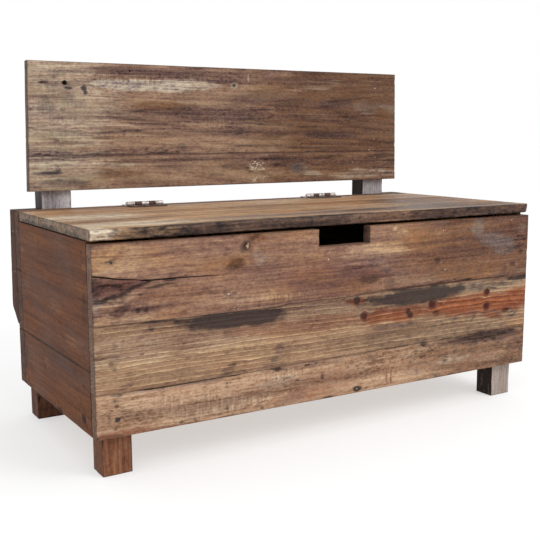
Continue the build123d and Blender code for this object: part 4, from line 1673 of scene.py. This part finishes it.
@dataclass
class Backrest:
    """The two boards of the backrest, which lean back; X along and the height above its foot across."""

    spacing: float = 3.0
    # How the left end runs, which is not cut square: the height above the foot, and the shift along X
    left_end: Places = ((0.0, -3.5), (225.0, 4.0))

    # The upper board's marks: pale and sawn on the left, brown flame grain on the right
    upper_marks: Marks = (
        pale((-420, 150), (200, 200), 0.5, ragged=0.3), warm((330, 140), (330, 200), 0.8, ragged=0.3),
        dark((330, 140), (250, 200), 0.28, ragged=0.3), saw((-360, 145), (70, 90), 0.5),
        saw((-225, 198), (80, 12), 0.8), saw((-30, 122), (50, 16)), saw((-230, 100), (90, 12), 0.6),
        grey((-330, 160), (14, 16), 0.8), grey((-368, 150), (18, 18)), grey((-308, 152), (18, 9), 0.8),
        grey((-350, 100), (60, 5)), grey((-340, 207), (50, 5), 0.5), plum((-330, 84), (50, 4)),
        Knot((-372, 188), 2.4, 4.0), dark((-374, 188), (26, 10), 0.24, ragged=0.8),
        pale((-385, 184), (8, 4), 0.6, ragged=0.7), grey((-358, 182), (12, 8)),
        Hole((-334, 188), 4.2, 3.0), dark((-328, 179), (10, 4), 1.0, ragged=0.3, depth=1.0),
        dark((-300, 180), (7, 6), 1.0, ragged=0.3, depth=1.2),
        dark((-297, 173), (5, 6), 1.0, ragged=0.3, depth=1.2), dark((-339, 141), (6, 5), 0.56),
        pale((-220, 187), (84, 11), 1.5, ragged=0.3), pale((-132, 188), (48, 14), 1.5, ragged=0.3),
        pale((-85, 190), (60, 13), 0.65), dark((-165, 184), (3, 14), 0.28, slope=1.0),
        plum((-190, 213), (100, 8), 0.8), Hole((-212, 212), 1.8, 1.0), dark((-85, 212), (40, 9), 0.35),
        dark((20, 222), (16, 4), 0.56), dark((-215, 126), (64, 3), 0.59),
        dark((-185, 142), (34, 3), 0.59, slope=0.1), warm((-150, 150), (70, 9), 0.8),
        plum((-140, 140), (70, 6), 0.6), dark((-235, 103), (66, 3.5), 0.52, slope=0.05),
        plum((-235, 103), (66, 4), 0.9, slope=0.05), plum((-160, 116), (60, 5)),
        warm((-280, 92), (70, 3), slope=0.03), dark((-250, 133), (80, 2), 0.42, slope=0.12),
        dark((-230, 160), (60, 1.6), 0.39, slope=0.2), dark((-346, 67), (19, 4), 0.49, ragged=0.9),
        chew((-346, 68), (20, 6), 1.0), chew((-375, 65), (24, 5), 1.0),
        dark((-388, 65), (8, 2.5), 0.56, ragged=0.8), chew((-300, 71), (18, 5), 1.0),
        dark((-268, 66), (44, 3), 0.56, slope=0.08), chew((-150, 67), (46, 6), 1.0),
        dark((-145, 64), (46, 4), 0.63), dark((-112, 73), (14, 11), 0.42), Knot((4, 192), 4.5, 1.1),
        pale((4, 192), (10, 9), 0.6), pale((36, 208), (1.6, 9), 0.9, slope=0.5),
        plum((60, 168), (120, 14)), dark((50, 168), (100, 10), 0.24), plum((-80, 145), (60, 8), 0.6),
        dark((-60, 152), (100, 2.4), 0.42, slope=0.04), dark((10, 141), (50, 3), 0.42),
        dark((20, 127), (34, 3), 0.42), dark((14, 99), (14, 4), 0.63), dark((92, 96), (46, 6), 0.49),
        dark((-30, 103), (70, 2.4), 0.42), dark((120, 115), (150, 2.2), 0.66, slope=-0.04, depth=0.4),
        dark((60, 75), (120, 2.6), 0.56), chew((0, 66), (60, 6), 0.95), speck((10, 66), (60, 5)),
        pale((195, 193), (80, 10), 0.18, slope=0.1), pale((180, 133), (80, 9), 0.12, slope=-0.06),
        dark((255, 162), (70, 9), 0.39, slope=0.12), dark((300, 171), (120, 2.4), 0.66, slope=0.1),
        dark((310, 187), (110, 4), 0.42, slope=0.06), dark((340, 204), (60, 4), 0.42),
        plum((240, 158), (60, 9)), grey((330, 152), (46, 16), 0.5), grey((394, 150), (16, 12), 0.8),
        grey((372, 157), (20, 6), 0.6), warm((360, 132), (26, 9), 1.0),
        dark((230, 95), (66, 6), 0.59, slope=-0.04), plum((230, 95), (66, 7), 0.8, slope=-0.04),
        dark((330, 110), (90, 2), 0.49, slope=-0.12), dark((350, 82), (60, 4), 0.49, slope=-0.05),
        dark((290, 129), (40, 3), 0.49, slope=-0.15), dark((200, 70), (90, 2.4), 0.56),
        chew((152, 82), (16, 7), 0.9), speck((345, 66), (50, 5)),
    )

    # The lower board's marks
    lower_marks: Marks = (
        pale((-420, 40), (190, 60), 0.5, ragged=0.4), warm((330, 30), (330, 70), ragged=0.3),
        pale((-355, 47), (80, 8), 0.8), pale((-240, 44), (60, 5), 0.5),
        dark((-377, 32), (34, 2.6), 1.0, ragged=0.3), dark((-353, 36), (6, 5), 0.63),
        grey((-345, 14), (52, 8), 0.8), dark((-340, 14), (46, 6), 0.45), dark((-395, 8), (16, 4), 0.42),
        warm((-260, 27), (120, 9), 0.5), plum((-180, 50), (90, 5)), dark((-60, 52), (84, 5), 0.52),
        plum((-140, 38), (60, 7), 0.5), dark((-40, 20), (22, 4), 0.42), dark((10, 36), (70, 8), 0.35),
        chew((48, 34), (34, 16), 1.0), speck((52, 34), (30, 14), 1.2), speck((60, 14), (30, 10), 0.9),
        pale((40, 34), (5, 4), 1.0), pale((46, 8), (5, 3), 0.9), warm((72, 47), (10, 6), 1.0),
        speck((130, 56), (20, 5), 0.9), dark((120, 50), (60, 6), 0.42), dark((220, 51), (70, 6), 0.56),
        grey((150, 28), (24, 12), 0.8), dark((150, 30), (20, 9), 0.49), pale((190, 16), (34, 9), 0.35),
        speck((180, 20), (24, 10)), pale((310, 14), (100, 12), 0.4), dark((290, 34), (60, 7), 0.42),
        dark((375, 52), (44, 6), 0.52), dark((390, 38), (16, 10), 0.42),
    )

    def boards(self) -> list[Board]:
        """Give both boards."""
        found = []
        foot = float(bare_rest().limits[0][1])
        bends = {Side.START: tuple((foot + height, shift) for height, shift in self.left_end)}
        for name, marks, seam, seed in (("upper", self.upper_marks, Side.LOW, 41),
                                        ("lower", self.lower_marks, Side.HIGH, 42)):
            raised = tuple(replace(mark, place=(mark.place[0], mark.place[1] + foot)) for mark in marks)
            found.append(replace(bare_rest(), node=f"backrest_board_{name}", seed=seed, marks=raised,
                                 spacing=self.spacing, edge=0.8, seams=(seam,), heart=(12, -72),
                                 tilt=(0.0, 0.085), bends=bends))
        return found


@dataclass
class Posts:
    """The backrest's posts behind the box and the cheeks beside them, bevelled at the foot."""

    bevel_height: float = 28.0
    tail_depth: float = 4.0
    cheek_top_depth: float = 27.0
    backrest_foot: float = 399.6
    # A mark that covers a side from foot to top, painted shade on the sides and painted light on the
    # left post's front and back: its middle height and half its height
    whole_side: Place = (400.0, 300.0)
    # How far behind the middle of the bench the posts stand, and half the depth of the shade painted there
    standing: Place = (190.0, 60.0)

    def boards(self) -> list[Board]:
        """Give posts and cheeks; the grain runs up, and the outer side is the face."""
        found = []
        for number, (end, facing) in enumerate(zip(ENDS, (Way.LEFT, Way.RIGHT))):
            for kind, timber in (("backrest_post", POST), ("post_cheek", CHEEK)):
                node = f"{kind}_{end}"
                low, high = (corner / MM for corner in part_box(node))
                seed = 51 + 2 * number + (kind == "post_cheek")
                found.append(Board(node, Way.UP, facing, timber, "posts", seed, self.marks(kind, facing),
                                   spacing=5.0, taper=partial(self.outline, low, high, facing, kind),
                                   chance_marks=4))
        return found

    def marks(self, kind: str, facing: Way) -> Marks:
        """Darken a post's sides with painted shade, so that only its front and back are silver, and paint
        light on the left post's front and back, which makes them paler.

        Args:
            kind: post or cheek.
            facing: the outer side.

        Returns:
            The marks, none for a cheek.
        """
        if kind != "backrest_post":
            return ()
        height, reach = self.whole_side
        depth, half_depth = self.standing
        # Painted shade over both sides of each post
        found = [make((height, place), (reach, half_depth), strength, ragged=0.2, side=side)
                 for place in (depth, -depth)
                 for side, make, strength in ((Side.FACE, grey, 1.6), (Side.FACE, dark, 0.5),
                                              (Side.BACK, dark, 1.6))]
        # Painted light on the left post's front and back; a warm tint on the right post's
        make, strength = (pale, 0.75) if facing is Way.LEFT else (warm, 0.35)
        found += [make((height, 0), (reach, 900), strength, ragged=0.2, side=side)
                  for side in (Side.LOW, Side.HIGH)]
        return tuple(found)

    def outline(self, low: Vector, high: Vector, facing: Way, kind: str,
                heights: Array) -> tuple[Array, Array]:
        """Give how far a post or cheek reaches to the front and the back.

        Args:
            low: lowest corner of the node.
            high: highest corner.
            facing: the outer side, which settles the sign of the depth axis.
            kind: post or cheek.
            heights: the heights to give it for.

        Returns:
            Both limits across the board at each height.
        """
        front, rear = low.y, high.y
        top_depth = self.cheek_top_depth if kind == "post_cheek" else rear - front
        near = np.full(len(heights), front)
        if kind == "backrest_post":
            near += np.clip(heights - self.backrest_foot, 0, None) * math.tan(math.radians(RAKE))
        far = front + np.interp(heights, (low.z, low.z + self.bevel_height, high.z),
                                (self.tail_depth, rear - front, top_depth))
        return (near, far) if facing is Way.LEFT else (-far, -near)


@dataclass
class Feet:
    """The four feet under the bearers, with the grain upright."""

    edge: float = 1.6

    def boards(self) -> list[Board]:
        """Give the feet; the front right one is grey in front and almost black on its inner side, which is
        mostly painted shade.
        """
        dirt_and_shade = {"front_foot_right": 0.95, "front_foot_left": 0.35}
        found = []
        for number, (row, end) in enumerate(itertools.product(("front", "rear"), ENDS)):
            node = f"{row}_foot_{end}"
            timber = GREY_FOOT if node == "front_foot_right" else RED_FOOT
            # Each front foot's left side is darkened, mostly painted shade; the rear feet are darker all
            # over
            inner = dark((30, 190), (90, 90), dirt_and_shade.get(node, 0.0), ragged=0.2, side=Side.HIGH)
            found.append(Board(node, Way.UP, Way.FRONT, timber, "feet", 61 + number, (inner,), spacing=4.0,
                               edge=self.edge, bite=1.2, heart=(8, -14),
                               base_tones={Tone.DARK: 0.0 if row == "front" else 0.6}))
        return found


@dataclass
class Inside:
    """Floor boards, bearers, corner posts and battens, which show when the lid is up or from below."""

    floor_boards: int = 7
    spacing: float = 8.0

    def boards(self) -> list[Board]:
        """Give the boards of the box's inside."""
        plain = dict(timber=INNER, slot="inner_timber", spacing=self.spacing, chance_marks=6)
        found = [Board(f"floor_board_{n}", Way.REAR, Way.UP, seed=70 + n, **plain)
                 for n in range(1, self.floor_boards + 1)]
        for number, row in enumerate(("front", "rear")):
            inner = Way.REAR if row == "front" else Way.FRONT
            found.append(Board(f"{row}_bearer", Way.RIGHT, Way.DOWN, seed=80 + number, **plain))
            for index, end in enumerate(ENDS):
                seed = 84 + 2 * number + index
                found.append(Board(f"{row}_corner_post_{end}", Way.UP, inner, seed=seed, **plain))
        for index, end in enumerate(ENDS):
            found.append(Board(f"front_batten_{end}", Way.UP, Way.REAR, seed=90 + index, **plain))
        return found


@dataclass
class Hinges:
    """The two butt hinges, whose solids have their true shape and only get their finish."""

    steel: Steel = HINGE_STEEL
    lid_leaf_steel: Steel = RUSTED_STEEL

    def build(self) -> None:
        """Give every leaf and pin its steel; the lid's leaf has rusted, so the knuckles alternate."""
        materials = {steel: steel.material() for steel in (self.steel, self.lid_leaf_steel)}
        for name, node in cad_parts.items():
            if "_hinge_" in name:
                steel = self.lid_leaf_steel if name.endswith("lid_leaf") else self.steel
                node.data.materials.clear()
                node.data.materials.append(materials[steel])
                log.info("%s: %s", name, steel.name)


@dataclass
class OldNails:
    """Nail heads left in the boards from an earlier use, some pale with a painted glint and two black;
    millimetres.
    """

    # X and Z on the front, and X and the height above the foot on the backrest
    front: Places = (
        (219, 331), (222, 315), (215, 274), (225, 260), (-26, 308), (-28, 297), (-207, 198),
        (224, 198), (391, 197), (391, 168), (386, 340), (33, 71), (-213, 258),
    )
    backrest: Places = (
        (345, 87), (343, 133), (348, 194), (365, 157), (348, 48), (288, 39), (-346, 87), (75, 57),
    )
    black: Places = ((-400, 320.6), (-397, 91))
    radius: float = 2.2
    black_radius: float = 4.2
    length: float = 20.0
    sink: float = 0.1

    def front_seats(self, places: Places, radius: float) -> list[Seat]:
        """Give the seats of heads on the front.

        Args:
            places: X and Z of each.
            radius: their radius.

        Returns:
            The seats.
        """
        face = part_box("front_board_top")[0].y / MM + self.sink
        ahead = np.array(Way.FRONT.value)
        return [Seat(np.array([x, face, z]), ahead, radius, self.length) for x, z in places]

    def black_seats(self) -> list[Seat]:
        """Give the two black heads on the left of the front."""
        return self.front_seats(self.black, self.black_radius)

    def seats(self) -> list[Seat]:
        """Give the place of each pale head, a painted glint, on the front and on the backrest."""
        board = bare_rest()
        (_, foot, _), (_, _, top) = board.limits
        along, up, out = board.axes()
        found = self.front_seats(self.front, self.radius)
        for x, height in self.backrest:
            place = x * along + (foot + height) * up + (top - self.sink) * out
            found.append(Seat(place, out, self.radius, self.length / 2))
        return found


@dataclass
class Studio:
    """Pale floor, soft light and the camera; sizes in metres unless they say otherwise."""

    focal_pixels: float = 889.7
    image_pixels: float = 540.0
    sensor: float = 36.0
    eye: Triple = (-0.8516, -1.3812, 0.5013)
    yaw: float = 31.28
    pitch: float = 8.79
    roll: float = -0.12
    far_limit: float = 100.0
    lamp_place: Triple = (1.4, -2.4, 2.2)
    lamp_target: Triple = (0.0, 0.0, 0.25)
    lamp_size: float = 1.6
    lamp_watts: float = 40.0
    floor_size: float = 60.0
    floor_glow: float = 0.52

    def camera(self) -> None:
        """Put the camera where the photo was taken from."""
        data = bpy.data.cameras.new("camera")
        data.sensor_width = self.sensor
        data.sensor_fit = "HORIZONTAL"
        data.lens = self.focal_pixels / self.image_pixels * self.sensor
        data.clip_end = self.far_limit
        yaw, pitch, roll = (math.radians(a) for a in (self.yaw, self.pitch, self.roll))
        ahead = Vector((math.sin(yaw) * math.cos(pitch), math.cos(yaw) * math.cos(pitch), -math.sin(pitch)))
        right = Vector((math.cos(yaw), -math.sin(yaw), 0.0))
        up = right.cross(ahead)
        level = right * math.cos(roll) + up * math.sin(roll)
        camera = bpy.data.objects.new("camera", data)
        turn = Matrix((level, level.cross(ahead), -ahead)).transposed().to_4x4()
        camera.matrix_world = Matrix.Translation(self.eye) @ turn
        bpy.context.scene.collection.objects.link(camera)
        bpy.context.scene.camera = camera

    def light(self) -> None:
        """Light the bench softly from all round, with a large lamp in front on the right."""
        scene = bpy.context.scene
        scene.view_settings.view_transform = "Standard"
        world = bpy.data.worlds.new("white studio")
        world.use_nodes = True
        shade = world.node_tree.nodes["Background"]
        shade.inputs["Color"].default_value = linear("ffffff")
        shade.inputs["Strength"].default_value = 1.0
        scene.world = world
        data = bpy.data.lights.new("key", "AREA")
        data.size = self.lamp_size
        data.energy = self.lamp_watts
        lamp = bpy.data.objects.new("key", data)
        lamp.location = self.lamp_place
        aim = Vector(self.lamp_target) - lamp.location
        lamp.rotation_euler = aim.to_track_quat("-Z", "Y").to_euler()
        scene.collection.objects.link(lamp)

    def floor(self) -> None:
        """Lay a plain pale floor under the feet, which glows a little so that shadows stay light."""
        mesh = bpy.data.meshes.new("floor")
        half = self.floor_size / 2
        corners = [(-half, -half, 0), (half, -half, 0), (half, half, 0), (-half, half, 0)]
        mesh.from_pydata(corners, [], [(0, 1, 2, 3)])
        # Plain sheet without gloss: an even white, with shadows that stay light
        material, tree = surfaced("white acrylic, lit from below")
        shader = add(tree, "ShaderNodeBsdfPrincipled", {
            "Base Color": linear("b8b8b8"), "Roughness": 0.8, "Specular IOR Level": 0.0,
            "Emission Color": linear("ffffff"), "Emission Strength": self.floor_glow,
        })
        add(tree, "ShaderNodeOutputMaterial", {"Surface": shader})
        mesh.materials.append(material)
        floor = bpy.data.objects.new("floor", mesh)
        bpy.context.scene.collection.objects.link(floor)


BATCHES = {
    **{f"{place}_nails": Batch(Head.NAIL, DARK_NAIL)
       for place in ("front", "side", "back", "floor", "backrest")},
    # Pale heads whose colour is a painted glint
    "cheek_nails": Batch(Head.NAIL, PAINTED_GLINT_NAIL),
    **{f"{place}_screws": Batch(Head.SCREW, HINGE_STEEL) for place in ("foot", "post")},
    "lid_screws": Batch(Head.SCREW, HINGE_STEEL, "lid"),
    "hinge_fixed_screws": Batch(Head.SCREW, HINGE_STEEL),
    "hinge_lid_screws": Batch(Head.SCREW, HINGE_STEEL, "lid"),
}


def main() -> None:
    """Build every sub-assembly, then the studio."""
    logging.basicConfig(level=logging.INFO, format="%(name)s %(message)s")
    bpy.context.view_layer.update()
    fasteners = Fasteners(BATCHES)
    seats = fasteners.find()
    materials: dict[Timber, bpy.types.Material] = {}
    for part in (FrontPanel(), SidePanels(), BackPanel(), Lid(), Backrest(), Posts(), Feet(), Inside()):
        for board in part.boards():
            if board.timber not in materials:
                materials[board.timber] = board.timber.material()
            board.build(seats, materials[board.timber])
    fasteners.build()
    old_nails = OldNails()
    # Pale heads whose colour is a painted glint
    fasteners.strike("nail_heads_with_painted_glint", Batch(Head.NAIL, PAINTED_GLINT_NAIL), old_nails.seats())
    fasteners.strike("black_nail_heads", Batch(Head.NAIL, BLACK_NAIL), old_nails.black_seats())
    Hinges().build()
    studio = Studio()
    studio.camera()
    studio.light()
    studio.floor()


if __name__ == "__main__":
    main()
